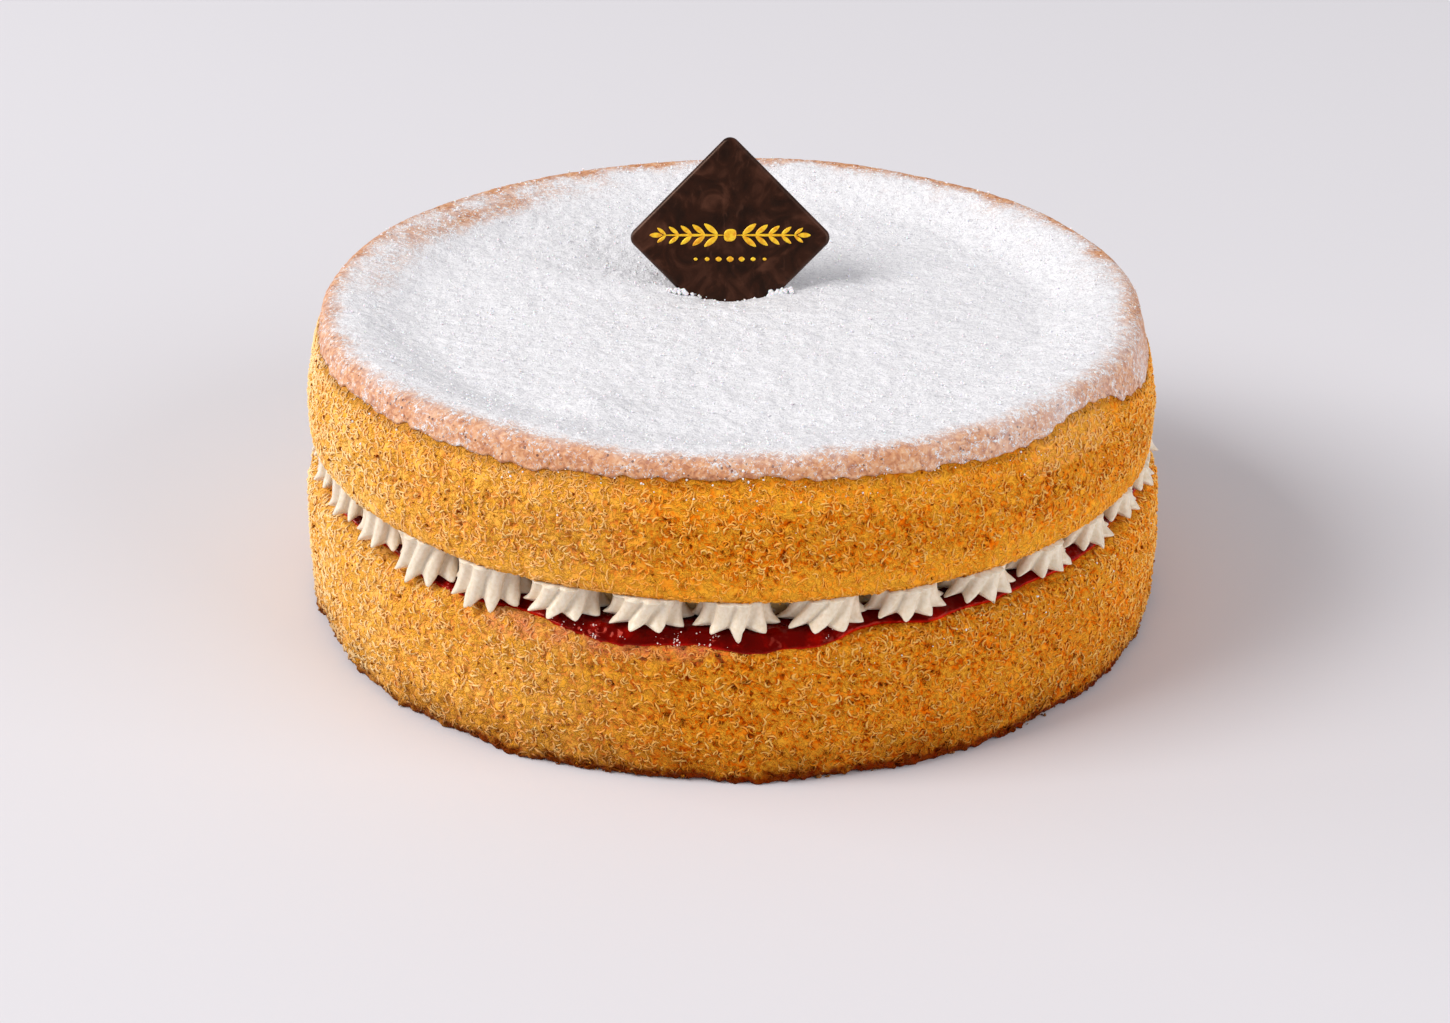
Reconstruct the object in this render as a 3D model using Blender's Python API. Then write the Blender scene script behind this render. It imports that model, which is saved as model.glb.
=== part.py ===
"""A victoria sponge cake: two sponge layers sandwiched with jam, a bed of whipped cream and a ring of
piped stars, with a chocolate plaque standing in the hollow of the top.

Metres, +Z up. The cake stands on z = 0 about the Z axis, and its front faces -Y."""

import math

import bmesh
import bpy

MM = 0.001

# Driving dimensions
CAKE_RADIUS = 100 * MM
CAKE_SEGMENTS = 56
GAP = 0.3 * MM  # clearance between pieces that rest on each other

# Lower sponge, a straight-sided disc with a soft top edge
LOWER_HEIGHT = 32.5 * MM
LOWER_EDGE = 4.0 * MM
LOWER_BULGE = 0.4 * MM

# Jam, which reaches furthest out and sags over the edge at the front
JAM_THICKNESS = 1.8 * MM
JAM_RADIUS = 97.2 * MM
JAM_FRONT_REACH = 1.6 * MM
JAM_FRONT_WIDTH = math.radians(24)
JAM_SAG = 0.9 * MM
JAM_SEGMENTS = 80

# Upper sponge, a slightly domed wall under a raised crust rim and a hollow top
UNDERSIDE_HEIGHT = 41.2 * MM
UNDERSIDE_TILT = 2.0 * MM  # how much the left edge is above the middle
UNDERSIDE_EDGE = 3.4 * MM
UPPER_RADIUS = CAKE_RADIUS - 1.7 * MM
UPPER_SHIFT = -1.0 * MM
RIM_HEIGHT = 72.3 * MM
RIM_ROUND = 3.5 * MM
RIM_RADIUS = 91.0 * MM
HOLLOW_DEPTH = 4.2 * MM
HOLLOW_RADIUS = 68.0 * MM
BUMP_HEIGHT = 2.2 * MM
BUMP_RADIUS = 11.0 * MM
BUMP_PLACE = (-29 * MM, -61 * MM)

# Whipped cream: a bed between the layers and the ring of stars round it
STAR_COUNT = 34
STAR_RING = 92 * MM
STAR_RIDGES = 10
STAR_GROOVE = 0.80  # radius of a groove as a share of its ridge's
STAR_TWIST = math.radians(25)
STAR_CROWDING = math.radians(2.0)
STAR_OUTWARD = 1.06
BED_RADIUS = 82.2 * MM
BED_SEGMENTS = 40

# Plaque, a square of chocolate standing on one corner and leaning back
PLAQUE_SIDE = 34.5 * MM
PLAQUE_THICKNESS = 3.0 * MM
PLAQUE_CORNER = 2.0 * MM
PLAQUE_BEVEL = 0.6 * MM
PLAQUE_LEAN = math.radians(18)
PLAQUE_CENTRE = (-0.9 * MM, 14.5 * MM, 79.5 * MM)
DIMPLE_DEPTH = 4.5 * MM
DIMPLE_RADIUS = 9.0 * MM

# Waves round the cake, each a (size, lobes, phase in degrees)
LOWER_WAVES = ((0.25 * MM, 3, 40), (0.15 * MM, 7, 110))
UPPER_WAVES = ((0.35 * MM, 3, 200), (0.25 * MM, 5, 60), (0.15 * MM, 11, 15))
UNDERSIDE_WAVES = ((0.30 * MM, 3, 150), (0.15 * MM, 5, 20))
RIM_WAVES = ((0.45 * MM, 2, 250), (0.25 * MM, 5, 130), (0.15 * MM, 9, 70))
JAM_WAVES = ((0.45 * MM, 9, 30), (0.30 * MM, 15, 100))
HOLLOW_WAVES = ((0.5 * MM, 2, 270), (0.3 * MM, 3, 20))
STAR_SIZE_WAVES = ((0.02, 7, 40), (0.015, 11, 160))

# Colours as sRGB, with roughness
CRUMB = ("sponge_crumb", (0.91, 0.65, 0.29), 0.85)
JAM = ("red_jam", (0.40, 0.03, 0.03), 0.15)
CREAM = ("whipped_cream", (0.95, 0.93, 0.90), 0.45)
CHOCOLATE = ("dark_chocolate", (0.18, 0.10, 0.09), 0.30)


def clear_scene():
    """Remove every object that the file opened with."""
    for obj in list(bpy.data.objects):
        bpy.data.objects.remove(obj, do_unlink=True)


def linear(value):
    """One sRGB channel as linear light."""
    return value / 12.92 if value <= 0.04045 else ((value + 0.055) / 1.055) ** 2.4


def make_material(name, colour, roughness):
    """A Principled material of one colour, for a non-metal."""
    material = bpy.data.materials.new(name)
    material.use_nodes = True
    shader = material.node_tree.nodes["Principled BSDF"]
    rgba = tuple(linear(channel) for channel in colour) + (1.0,)
    shader.inputs["Base Color"].default_value = rgba
    shader.inputs["Roughness"].default_value = roughness
    shader.inputs["Metallic"].default_value = 0.0
    material.diffuse_color = rgba
    return material


def wave(angle, waves):
    """The sum of the waves at one angle round the cake."""
    return sum(size * math.cos(lobes * angle - math.radians(phase)) for size, lobes, phase in waves)


def smooth_step(share):
    """0 to 1 with a level start and end."""
    share = min(max(share, 0.0), 1.0)
    return share * share * (3 - 2 * share)


def polar(radius, angle):
    """The point at an angle from the front, turning toward +X."""
    return radius * math.sin(angle), -radius * math.cos(angle)


def angles(count):
    """Equal steps once round, from the front."""
    return [2 * math.pi * step / count for step in range(count)]


def object_from(name, mesh, material, parent, location=(0, 0, 0), rotation=(0, 0, 0)):
    """Link a mesh as a named object under the cake's empty."""
    mesh.materials.append(material)
    obj = bpy.data.objects.new(name, mesh)
    bpy.context.scene.collection.objects.link(obj)
    obj.parent = parent
    obj.location = location
    obj.rotation_euler = rotation
    return obj


def stacked_rings(name, rings):
    """A closed mesh from rings of points, lowest first, with a fan at each end."""
    shape = bmesh.new()
    loops = [[shape.verts.new(point) for point in ring] for ring in rings]
    count = len(loops[0])
    for low, high in zip(loops, loops[1:]):
        for here in range(count):
            after = (here + 1) % count
            shape.faces.new((low[here], low[after], high[after], high[here]))
    for loop, turn in ((loops[0], -1), (loops[-1], 1)):
        middle = shape.verts.new(sum((v.co for v in loop), loop[0].co * 0) / count)
        for here in range(count):
            edge = (loop[here], loop[(here + 1) % count])[::turn]
            shape.faces.new((*edge, middle))
    mesh = bpy.data.meshes.new(name)
    shape.to_mesh(mesh)
    shape.free()
    return mesh


def ring(radius, height, count=CAKE_SEGMENTS, shift=0.0):
    """One ring of points. Radius and height are functions of the angle, or of the angle and the point."""
    points = []
    for angle in angles(count):
        x, y = polar(radius(angle), angle)
        points.append((x + shift, y, height(angle, x + shift, y)))
    return points


def level(value):
    """A ring height that is the same all round."""
    return lambda angle, x, y: value


def make_lower_sponge(material, parent):
    """Disc with a slightly bulging wall and a rounded top edge."""

    def out(inset):
        return lambda angle: CAKE_RADIUS + wave(angle, LOWER_WAVES) - inset

    rings = [ring(out(1.0 * MM), level(0.0)), ring(out(0.0), level(1.5 * MM))]
    for share in (0.35, 0.7):
        bulge = LOWER_BULGE * (4 * share * (1 - share))
        rings.append(ring(out(-bulge), level(share * (LOWER_HEIGHT - LOWER_EDGE))))
    for turn in (0.0, 0.5, 1.0):
        inset = LOWER_EDGE * (1 - math.cos(turn * math.pi / 2))
        drop = LOWER_EDGE * (1 - math.sin(turn * math.pi / 2))
        rings.append(ring(out(inset), level(LOWER_HEIGHT - drop)))
    return object_from("lower_sponge", stacked_rings("lower_sponge", rings), material, parent)


def jam_front(angle):
    """How far a point is in the stretch at the front where the jam runs out, 0 to 1."""
    turned = (angle + math.pi) % (2 * math.pi) - math.pi
    return math.exp(-((turned / JAM_FRONT_WIDTH) ** 4))


def make_jam(material, parent):
    """Spread of jam whose wavy edge sags over the sponge at the front."""
    base = LOWER_HEIGHT + GAP
    top = base + JAM_THICKNESS

    def out(inset):
        return lambda angle: JAM_RADIUS + JAM_FRONT_REACH * jam_front(angle) + wave(angle, JAM_WAVES) - inset

    def sag(height, share):
        return lambda angle, x, y: height - share * JAM_SAG * jam_front(angle)

    rings = [
        ring(out(1.2 * MM), level(base), JAM_SEGMENTS),
        ring(out(0.4 * MM), sag(base, 0.9), JAM_SEGMENTS),
        ring(out(0.0), sag(base + 0.35 * JAM_THICKNESS, 0.8), JAM_SEGMENTS),
        ring(out(0.9 * MM), level(top), JAM_SEGMENTS),
    ]
    return object_from("jam", stacked_rings("jam", rings), material, parent)


def underside(x, y):
    """Height of the upper sponge's underside, which is higher on the left."""
    radius = math.hypot(x, y)
    angle = math.atan2(x, -y)
    share = min(radius / CAKE_RADIUS, 1.0)
    return UNDERSIDE_HEIGHT - UNDERSIDE_TILT * x / CAKE_RADIUS + wave(angle, UNDERSIDE_WAVES) * share**2


def top_surface(x, y):
    """Height of the top inside the rim: a hollow with a bump, and a dimple where the plaque stands."""
    radius = math.hypot(x - UPPER_SHIFT, y)
    angle = math.atan2(x - UPPER_SHIFT, -y)
    inward = smooth_step((RIM_RADIUS - radius) / (RIM_RADIUS - HOLLOW_RADIUS))
    rim = RIM_HEIGHT + wave(angle, RIM_WAVES) * (1 - inward)
    hollow = (HOLLOW_DEPTH + wave(angle, HOLLOW_WAVES) * min(radius / HOLLOW_RADIUS, 1.0)) * inward
    bump = BUMP_HEIGHT * math.exp(-(math.dist((x, y), BUMP_PLACE) / BUMP_RADIUS) ** 2)
    dimple = DIMPLE_DEPTH * math.exp(-(math.dist((x, y), PLAQUE_CENTRE[:2]) / DIMPLE_RADIUS) ** 2)
    return rim - hollow + bump - dimple


def make_upper_sponge(material, parent, slot):
    """Sponge with rounded edges, a raised rim and a hollow top, cut by the plaque's slot."""

    def out(radius):
        return lambda angle: radius + wave(angle, UPPER_WAVES)

    foot = UNDERSIDE_HEIGHT + UNDERSIDE_EDGE
    shoulder_height = RIM_HEIGHT - RIM_ROUND
    taper = UPPER_RADIUS - RIM_RADIUS - RIM_ROUND
    def under(rise):
        return lambda angle, x, y: underside(x, y) + rise

    rings = [
        ring(out(0.8 * UPPER_RADIUS), under(0.0), shift=UPPER_SHIFT),
        ring(out(UPPER_RADIUS - UNDERSIDE_EDGE), under(0.0), shift=UPPER_SHIFT),
        ring(out(UPPER_RADIUS - 0.3 * UNDERSIDE_EDGE), under(0.3 * UNDERSIDE_EDGE), shift=UPPER_SHIFT),
        ring(out(UPPER_RADIUS), under(UNDERSIDE_EDGE), shift=UPPER_SHIFT),
    ]
    for share in (0.35, 0.7):
        height = foot + share * (shoulder_height - foot)
        rings.append(ring(out(UPPER_RADIUS - taper * share**2), level(height), shift=UPPER_SHIFT))
    for turn in (0.0, 0.38, 0.72, 1.0):
        radius = RIM_RADIUS + RIM_ROUND * math.cos(turn * math.pi / 2)
        drop = RIM_ROUND * (1 - math.sin(turn * math.pi / 2))

        def shoulder(angle, x, y, drop=drop, turn=turn):
            return RIM_HEIGHT - drop + wave(angle, RIM_WAVES) * turn

        rings.append(ring(out(radius), shoulder, shift=UPPER_SHIFT))
    for radius in (86, 81, 75, 68, 54, 40, 29, 21, 14.5, 8.5):
        rings.append(ring(lambda angle: radius * MM, lambda angle, x, y: top_surface(x, y), shift=UPPER_SHIFT))
    sponge = object_from("upper_sponge", stacked_rings("upper_sponge", rings), material, parent)
    cut = sponge.modifiers.new("plaque_slot", "BOOLEAN")
    cut.operation = "DIFFERENCE"
    cut.object = slot
    return sponge


def make_cream_bed(material, parent):
    """Disc of cream between the jam and the upper sponge, set back behind the stars."""
    base = LOWER_HEIGHT + JAM_THICKNESS + 2 * GAP

    def roof(angle, x, y):
        return underside(x, y) - GAP - 0.1 * MM

    def out(inset):
        return lambda angle: BED_RADIUS - inset

    rings = [
        ring(out(0.8 * MM), level(base), BED_SEGMENTS),
        ring(out(0.0), level(base + 3 * MM), BED_SEGMENTS),
        ring(out(1.0 * MM), roof, BED_SEGMENTS),
    ]
    return object_from("cream_bed", stacked_rings("cream_bed", rings), material, parent)


def star_angle(index):
    """Where a star sits. The stars crowd a little toward the sides."""
    angle = 2 * math.pi * index / STAR_COUNT
    return angle + STAR_CROWDING * math.sin(2 * angle)


def star_reach(index):
    """Ridge radius of a star: just under half the way to its nearer neighbour."""
    before, here, after = (star_angle(index + step) for step in (-1, 0, 1))
    nearest = min(here - before, after - here)
    uneven = wave(here, STAR_SIZE_WAVES)
    return (0.478 + 0.5 * min(uneven, 0.01)) * 2 * STAR_RING * math.sin(nearest / 2)


def make_cream_star(index, material, parent):
    """One piped star: a twisted, ridged swirl squashed between the jam and the upper sponge."""
    turn = star_angle(index)
    reach = star_reach(index)
    x0, y0 = polar(STAR_RING, turn)
    base = LOWER_HEIGHT + JAM_THICKNESS + 2 * GAP
    rings = []
    for share, width in ((0.0, 0.90), (0.28, 1.0), (0.66, 0.86), (1.0, 0.66)):
        points = []
        for step, angle in enumerate(angles(2 * STAR_RIDGES)):
            radius = reach * width * (STAR_GROOVE if step % 2 else 1.0)
            across, inward = polar(radius, angle + STAR_TWIST * share)
            if inward < 0:
                inward *= STAR_OUTWARD
            x = x0 + across * math.cos(turn) - inward * math.sin(turn)
            y = y0 + across * math.sin(turn) + inward * math.cos(turn)
            height = (underside(x, y) - GAP - 0.1 * MM - base) * share
            points.append((across, inward, height))
        rings.append(points)
    name = f"cream_star_{index + 1:02d}"
    return object_from(name, stacked_rings(name, rings), material, parent, (x0, y0, base), (0, 0, turn))


def plaque_mesh(name, side, thickness, bevel):
    """A square standing on one corner in the XZ plane, with rounded corners and softened edges."""
    shape = bmesh.new()
    half = side / math.sqrt(2) - PLAQUE_CORNER * (math.sqrt(2) - 1) - PLAQUE_CORNER
    outline = []
    for corner in range(4):
        for step in range(4):
            angle = math.pi / 2 * corner + math.pi / 2 * (step / 3 - 0.5)
            x = half * math.cos(math.pi / 2 * corner) + PLAQUE_CORNER * math.cos(angle)
            z = half * math.sin(math.pi / 2 * corner) + PLAQUE_CORNER * math.sin(angle)
            outline.append(shape.verts.new((x, -thickness / 2, z)))
    face = shape.faces.new(outline)
    back = bmesh.ops.extrude_face_region(shape, geom=[face])["geom"]
    moved = [item for item in back if isinstance(item, bmesh.types.BMVert)]
    bmesh.ops.translate(shape, vec=(0, thickness, 0), verts=moved)
    bmesh.ops.recalc_face_normals(shape, faces=shape.faces)
    if bevel:
        rims = [edge for edge in shape.edges if abs(edge.verts[0].co.y - edge.verts[1].co.y) < thickness / 2]
        bmesh.ops.bevel(shape, geom=rims, offset=bevel, segments=1, affect="EDGES", clamp_overlap=True)
    mesh = bpy.data.meshes.new(name)
    shape.to_mesh(mesh)
    shape.free()
    return mesh


def make_plaque(material, parent):
    """The plaque, and the slightly larger cutter that opens its slot in the sponge."""
    lean = (-PLAQUE_LEAN, 0, 0)
    mesh = plaque_mesh("plaque", PLAQUE_SIDE, PLAQUE_THICKNESS, PLAQUE_BEVEL)
    plaque = object_from("plaque", mesh, material, parent, PLAQUE_CENTRE, lean)
    mesh = plaque_mesh("plaque_slot", PLAQUE_SIDE + 2 * GAP, PLAQUE_THICKNESS + 2 * GAP, 0.0)
    slot = object_from("plaque_slot", mesh, material, parent, PLAQUE_CENTRE, lean)
    slot.hide_render = True
    slot.display_type = "WIRE"
    return plaque, slot


def main():
    """Build the cake from the board up."""
    clear_scene()
    bpy.context.scene.unit_settings.scale_length = 1.0
    cake = bpy.data.objects.new("victoria_sponge_cake", None)
    bpy.context.scene.collection.objects.link(cake)
    crumb, jam, cream, chocolate = (make_material(*look) for look in (CRUMB, JAM, CREAM, CHOCOLATE))
    make_lower_sponge(crumb, cake)
    make_jam(jam, cake)
    make_cream_bed(cream, cake)
    for index in range(STAR_COUNT):
        make_cream_star(index, cream, cake)
    _, slot = make_plaque(chocolate, cake)
    make_upper_sponge(crumb, cake, slot)


if __name__ == "__main__":
    main()
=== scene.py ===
"""The looks of a victoria sponge cake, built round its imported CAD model.

The cake stands on z = 0 about the Z axis, its plaque faces -Y, and everything is in metres. Each class below
is one part of the cake as a baker makes it: the two sponges, the jam, the whipped cream and its piped stars,
the chocolate plaque, and the sugar that is sifted over the top last.
"""

from __future__ import annotations

import logging
import math
from collections.abc import Callable, Sequence
from dataclasses import dataclass, field
from enum import Enum
from typing import ClassVar

import bmesh
import bpy
import numpy as np
from mathutils import Matrix, Vector


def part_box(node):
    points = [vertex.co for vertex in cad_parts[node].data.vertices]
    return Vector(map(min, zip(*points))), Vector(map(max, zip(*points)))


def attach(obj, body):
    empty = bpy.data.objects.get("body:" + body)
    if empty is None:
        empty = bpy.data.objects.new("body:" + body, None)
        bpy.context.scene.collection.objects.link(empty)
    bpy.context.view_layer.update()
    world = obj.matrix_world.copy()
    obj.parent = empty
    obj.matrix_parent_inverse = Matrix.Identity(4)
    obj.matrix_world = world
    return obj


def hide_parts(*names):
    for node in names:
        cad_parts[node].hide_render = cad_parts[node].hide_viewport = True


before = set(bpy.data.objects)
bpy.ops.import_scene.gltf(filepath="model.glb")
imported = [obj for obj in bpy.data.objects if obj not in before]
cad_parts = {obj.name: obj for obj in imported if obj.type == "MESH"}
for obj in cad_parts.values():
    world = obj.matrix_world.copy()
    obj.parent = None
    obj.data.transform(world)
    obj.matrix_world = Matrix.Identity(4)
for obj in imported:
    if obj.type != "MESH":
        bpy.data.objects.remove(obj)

MM = 0.001
log = logging.getLogger("cake")

Waves = Sequence[tuple[float, int, float]]
Array = np.ndarray
Piece = bpy.types.Object
Socket = bpy.types.NodeSocket
Tree = bpy.types.NodeTree
Inputs = dict[str | int, object]
Layer = tuple[Socket, str, str]
SMOOTH = {"interpolation_type": "SMOOTHSTEP"}


class Slot(Enum):
    """The material slots."""

    CRUMB = "sponge_crumb"
    JAM = "red_jam"
    CREAM = "whipped_cream"
    CHOCOLATE = "dark_chocolate"


# ----------------------------------------------------------------------------------------------------------
# Repeatable unevenness


@dataclass(frozen=True)
class Noise:
    """Repeatable noise through space, read for many points at once."""

    cell: float
    seed: int = 0
    spread: ClassVar[float] = 2.6  # brings the lumps to about -1 to 1
    least_hole: ClassVar[float] = 0.35  # the smallest hole as a share of the widest

    def _random(self, cells: Array, salt: int) -> Array:
        """A value from 0 to 1 for each whole-numbered cell.

        Args:
            cells: whole numbers, one row of three for each cell.
            salt: tells apart several values of one cell.

        Returns:
            One value for each cell.
        """
        x, y, z = (cells[..., axis].astype(np.int64) for axis in range(3))
        mixed = x * 73856093 ^ y * 19349663 ^ z * 83492791 ^ (self.seed * 7919 + salt * 104729 + 12345)
        mixed &= 0xFFFFFFFF
        for shift, factor in ((16, 0x7FEB352D), (15, 0x846CA68B)):
            mixed = ((mixed ^ (mixed >> shift)) * factor) & 0xFFFFFFFF
        return (mixed ^ (mixed >> 16)) / 0xFFFFFFFF

    def lumps(self, points: Array) -> Array:
        """Smooth lumps one cell wide, from about -1 to 1.

        Args:
            points: one row of three for each point, in metres.

        Returns:
            One value for each point.
        """
        places = points / self.cell
        low = np.floor(places)
        share = places - low
        fade = share**3 * (share * (share * 6 - 15) + 10)
        total = np.zeros(len(points))
        for corner in np.ndindex(2, 2, 2):
            cells = low + corner
            slope = np.stack([self._random(cells, salt) - 0.5 for salt in range(3)], axis=1)
            weight = np.prod(np.where(corner, fade, 1 - fade), axis=1)
            total += weight * np.einsum("ij,ij->i", slope, share - corner)
        return total * self.spread

    def warped(self, points: Array, reach: float) -> Array:
        """The points pushed about by the noise, which turns straight ridges into curls.

        Args:
            points: one row of three for each point, in metres.
            reach: the furthest a point is pushed, in metres.

        Returns:
            The moved points.
        """
        push = [Noise(self.cell, self.seed + 31 + axis).lumps(points) for axis in range(3)]
        return points + reach * np.stack(push, axis=1)

    def ridges(self, points: Array, width: float) -> Array:
        """Thin curling ridges, 1 on a crest and 0 away from it.

        Args:
            points: one row of three for each point, in metres.
            width: share of the range that a ridge takes.

        Returns:
            One value for each point.
        """
        return np.clip(1 - np.abs(self.lumps(points)) / width, 0, 1)

    def holes(self, points: Array, wide: float) -> Array:
        """Round holes, one in each cell, of uneven size: 1 in the middle and 0 outside.

        Args:
            points: one row of three for each point, in metres.
            wide: radius of the widest hole as a share of the cell.

        Returns:
            One value for each point.
        """
        places = points / self.cell
        low = np.floor(places)
        deepest = np.zeros(len(points))
        for step in np.ndindex(3, 3, 3):
            cells = low + np.array(step) - 1
            middle = cells + np.stack([self._random(cells, salt) for salt in range(3)], axis=1)
            radius = wide * (self.least_hole + (1 - self.least_hole) * self._random(cells, 7))
            away = np.linalg.norm(places - middle, axis=1)
            deepest = np.maximum(deepest, np.clip(1 - (away / radius) ** 2, 0, 1))
        return deepest


def wave(angle: Array, waves: Waves) -> Array:
    """Unevenness round the cake.

    Args:
        angle: angles from the front, in radians.
        waves: each a size in metres, a number of lobes and a phase in degrees.

    Returns:
        The sum of the waves at each angle.
    """
    return sum(size * np.cos(lobes * angle - math.radians(phase)) for size, lobes, phase in waves)


def smooth_step(value: Array, low: float = 0.0, high: float = 1.0) -> Array:
    """0 below low, 1 above high, with a soft start and end."""
    share = np.clip((value - low) / (high - low), 0, 1)
    return share * share * (3 - 2 * share)


def around(angle: Array, middle: float, half_width: float) -> Array:
    """1 near one angle round the cake, falling to 0 at the half width, all in degrees but the angles."""
    away = np.abs((np.degrees(angle) - middle + 180) % 360 - 180)
    return 1 - smooth_step(away, 0.6 * half_width, 1.2 * half_width)


def turn_of(points: Array) -> Array:
    """The angle of each point round the cake, from the front toward +X."""
    return np.arctan2(points[:, 0], -points[:, 1])


def placed_round(radius: Array, angle: Array, height: Array) -> Array:
    """Places by radius, angle round the cake and height, one row of three for each."""
    return np.stack([radius * np.sin(angle), -radius * np.cos(angle), height], axis=1)


# ----------------------------------------------------------------------------------------------------------
# The baked form, as the CAD model has it


@dataclass(frozen=True)
class CakeForm:
    """The smooth shape that the sponges, cream and jam are built on."""

    lower_height: float
    jam_top: float
    star_base: float
    plaque_centre: Vector
    radius: float = 100 * MM
    lower_waves: Waves = ((0.25 * MM, 3, 40), (0.15 * MM, 7, 110))
    underside_height: float = 41.2 * MM
    underside_tilt: float = 2.0 * MM
    underside_waves: Waves = ((0.30 * MM, 3, 150), (0.15 * MM, 5, 20))
    underside_edge: float = 3.4 * MM
    upper_radius: float = 98.3 * MM
    upper_shift: float = -1.0 * MM
    upper_waves: Waves = ((0.35 * MM, 3, 200), (0.25 * MM, 5, 60), (0.15 * MM, 11, 15))
    rim_height: float = 72.3 * MM
    rim_round: float = 3.5 * MM
    rim_radius: float = 91.0 * MM
    rim_waves: Waves = ((0.45 * MM, 2, 250), (0.25 * MM, 5, 130), (0.15 * MM, 9, 70))
    hollow_depth: float = 4.2 * MM
    hollow_radius: float = 70.0 * MM
    hollow_rim: float = 89.0 * MM
    hollow_waves: Waves = ((0.5 * MM, 2, 270), (0.3 * MM, 3, 20))
    bump_height: float = 2.8 * MM
    bump_radius: float = 9.5 * MM
    bump_place: tuple[float, float] = (-29 * MM, -61 * MM)
    dimple_depth: float = 4.5 * MM
    dimple_radius: float = 9.0 * MM
    crust_height: float = 68.2 * MM
    crust_waves: Waves = ((0.35 * MM, 5, 60), (0.25 * MM, 8, 10), (0.2 * MM, 17, 75), (0.22 * MM, 29, 140))
    crust_torn: float = 2.4 * MM
    least_crust: float = 0.6 * MM

    @classmethod
    def from_frame(cls) -> CakeForm:
        """Reads the heights that the CAD nodes stand at."""
        low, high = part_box("plaque")
        return cls(
            lower_height=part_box("lower_sponge")[1].z,
            jam_top=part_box("jam")[1].z,
            star_base=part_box("cream_star_01")[0].z,
            plaque_centre=(low + high) / 2,
        )

    def underside(self, x: Array, y: Array) -> Array:
        """Height of the upper sponge's underside, which is higher on the left."""
        share = np.minimum(np.hypot(x, y) / self.radius, 1.0)
        uneven = wave(np.arctan2(x, -y), self.underside_waves) * share**2
        return self.underside_height - self.underside_tilt * x / self.radius + uneven

    def wall_radius(self, angle: Array, height: Array) -> Array:
        """Radius of the upper sponge's wall, which leans in toward the rim."""
        foot = self.underside_height + self.underside_edge
        share = np.clip((height - foot) / (self.rim_height - self.rim_round - foot), 0, 1)
        taper = self.upper_radius - self.rim_radius - self.rim_round
        return self.upper_radius - taper * share**2 + wave(angle, self.upper_waves)

    def top(self, x: Array, y: Array) -> Array:
        """Height of the top inside the rim: a hollow with a bump, and a dimple where the plaque stands."""
        radius = np.hypot(x - self.upper_shift, y)
        angle = np.arctan2(x - self.upper_shift, -y)
        inward = 1 - smooth_step(radius, self.hollow_radius, self.hollow_rim)
        rim = self.rim_height + wave(angle, self.rim_waves) * (1 - inward)
        uneven = wave(angle, self.hollow_waves) * np.minimum(radius / self.hollow_radius, 1.0)
        away = np.hypot(x - self.bump_place[0], y - self.bump_place[1])
        bump = self.bump_height * np.exp(-((away / self.bump_radius) ** 2))
        away = np.hypot(x - self.plaque_centre.x, y - self.plaque_centre.y)
        dimple = self.dimple_depth * np.exp(-((away / self.dimple_radius) ** 2))
        return rim - (self.hollow_depth + uneven) * inward + bump - dimple

    def crust_line(self, angle: Array) -> Array:
        """Height that the browned crust comes down to, lower on the right and torn short at one place."""
        torn = self.crust_torn * around(angle, 54, 8)
        sunk = 3.4 * np.clip(np.sin(angle), 0, 1) + around(angle, -80, 60) + 3.6 * around(angle, 88, 26)
        return self.crust_height - sunk * MM + wave(angle, self.crust_waves) + torn

    def crust_drop(self, angle: Array) -> Array:
        """Way over the rounded rim and down the wall from the ridge to the crust's lower edge."""
        fall = np.clip(self.rim_height - self.crust_line(angle), self.least_crust, None)
        on_arc = self.rim_round * np.arccos(np.clip(1 - fall / self.rim_round, 0, 1))
        return np.where(fall < self.rim_round, on_arc, self.rim_round * (math.pi / 2 - 1) + fall)

    def over_rim(self, angle: Array, drop: Array) -> tuple[Array, Array]:
        """A place outside the ridge of the rim.

        Args:
            angle: angles round the upper sponge, in radians.
            drop: way from the ridge over the rounding and down the wall, in metres.

        Returns:
            Radius about the upper sponge's middle, and height.
        """
        quarter = self.rim_round * math.pi / 2
        bend = np.clip(drop / self.rim_round, 0, math.pi / 2)
        height = self.rim_height - self.rim_round * (1 - np.cos(bend)) - np.maximum(drop - quarter, 0)
        height += wave(angle, self.rim_waves) * np.cos(bend)
        uneven = wave(angle, self.upper_waves) * np.sin(bend)
        on_arc = self.rim_radius + self.rim_round * np.sin(bend) + uneven
        radius = np.where(drop < quarter, on_arc, self.wall_radius(angle, height))
        return radius, height


# ----------------------------------------------------------------------------------------------------------
# Modelling helpers


def deselect_all() -> None:
    """Leave edit mode and let go of everything."""
    if bpy.context.object is not None and bpy.context.object.mode != "OBJECT":
        bpy.ops.object.mode_set(mode="OBJECT")
    bpy.ops.object.select_all(action="DESELECT")


def points_of(obj: Piece) -> Array:
    """The piece's vertices, one row of three for each."""
    flat = np.empty(len(obj.data.vertices) * 3)
    obj.data.vertices.foreach_get("co", flat)
    return flat.reshape(-1, 3)


def set_points(obj: Piece, points: Array) -> None:
    """Put the piece's vertices at new places."""
    obj.data.vertices.foreach_set("co", points.astype(np.float32).ravel())
    obj.data.update()


def set_attribute(obj: Piece, name: str, values: Array) -> None:
    """Store one number for each vertex, for a material to read."""
    attribute = obj.data.attributes.new(name, "FLOAT", "POINT")
    attribute.data.foreach_set("value", values.astype(np.float32))


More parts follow.
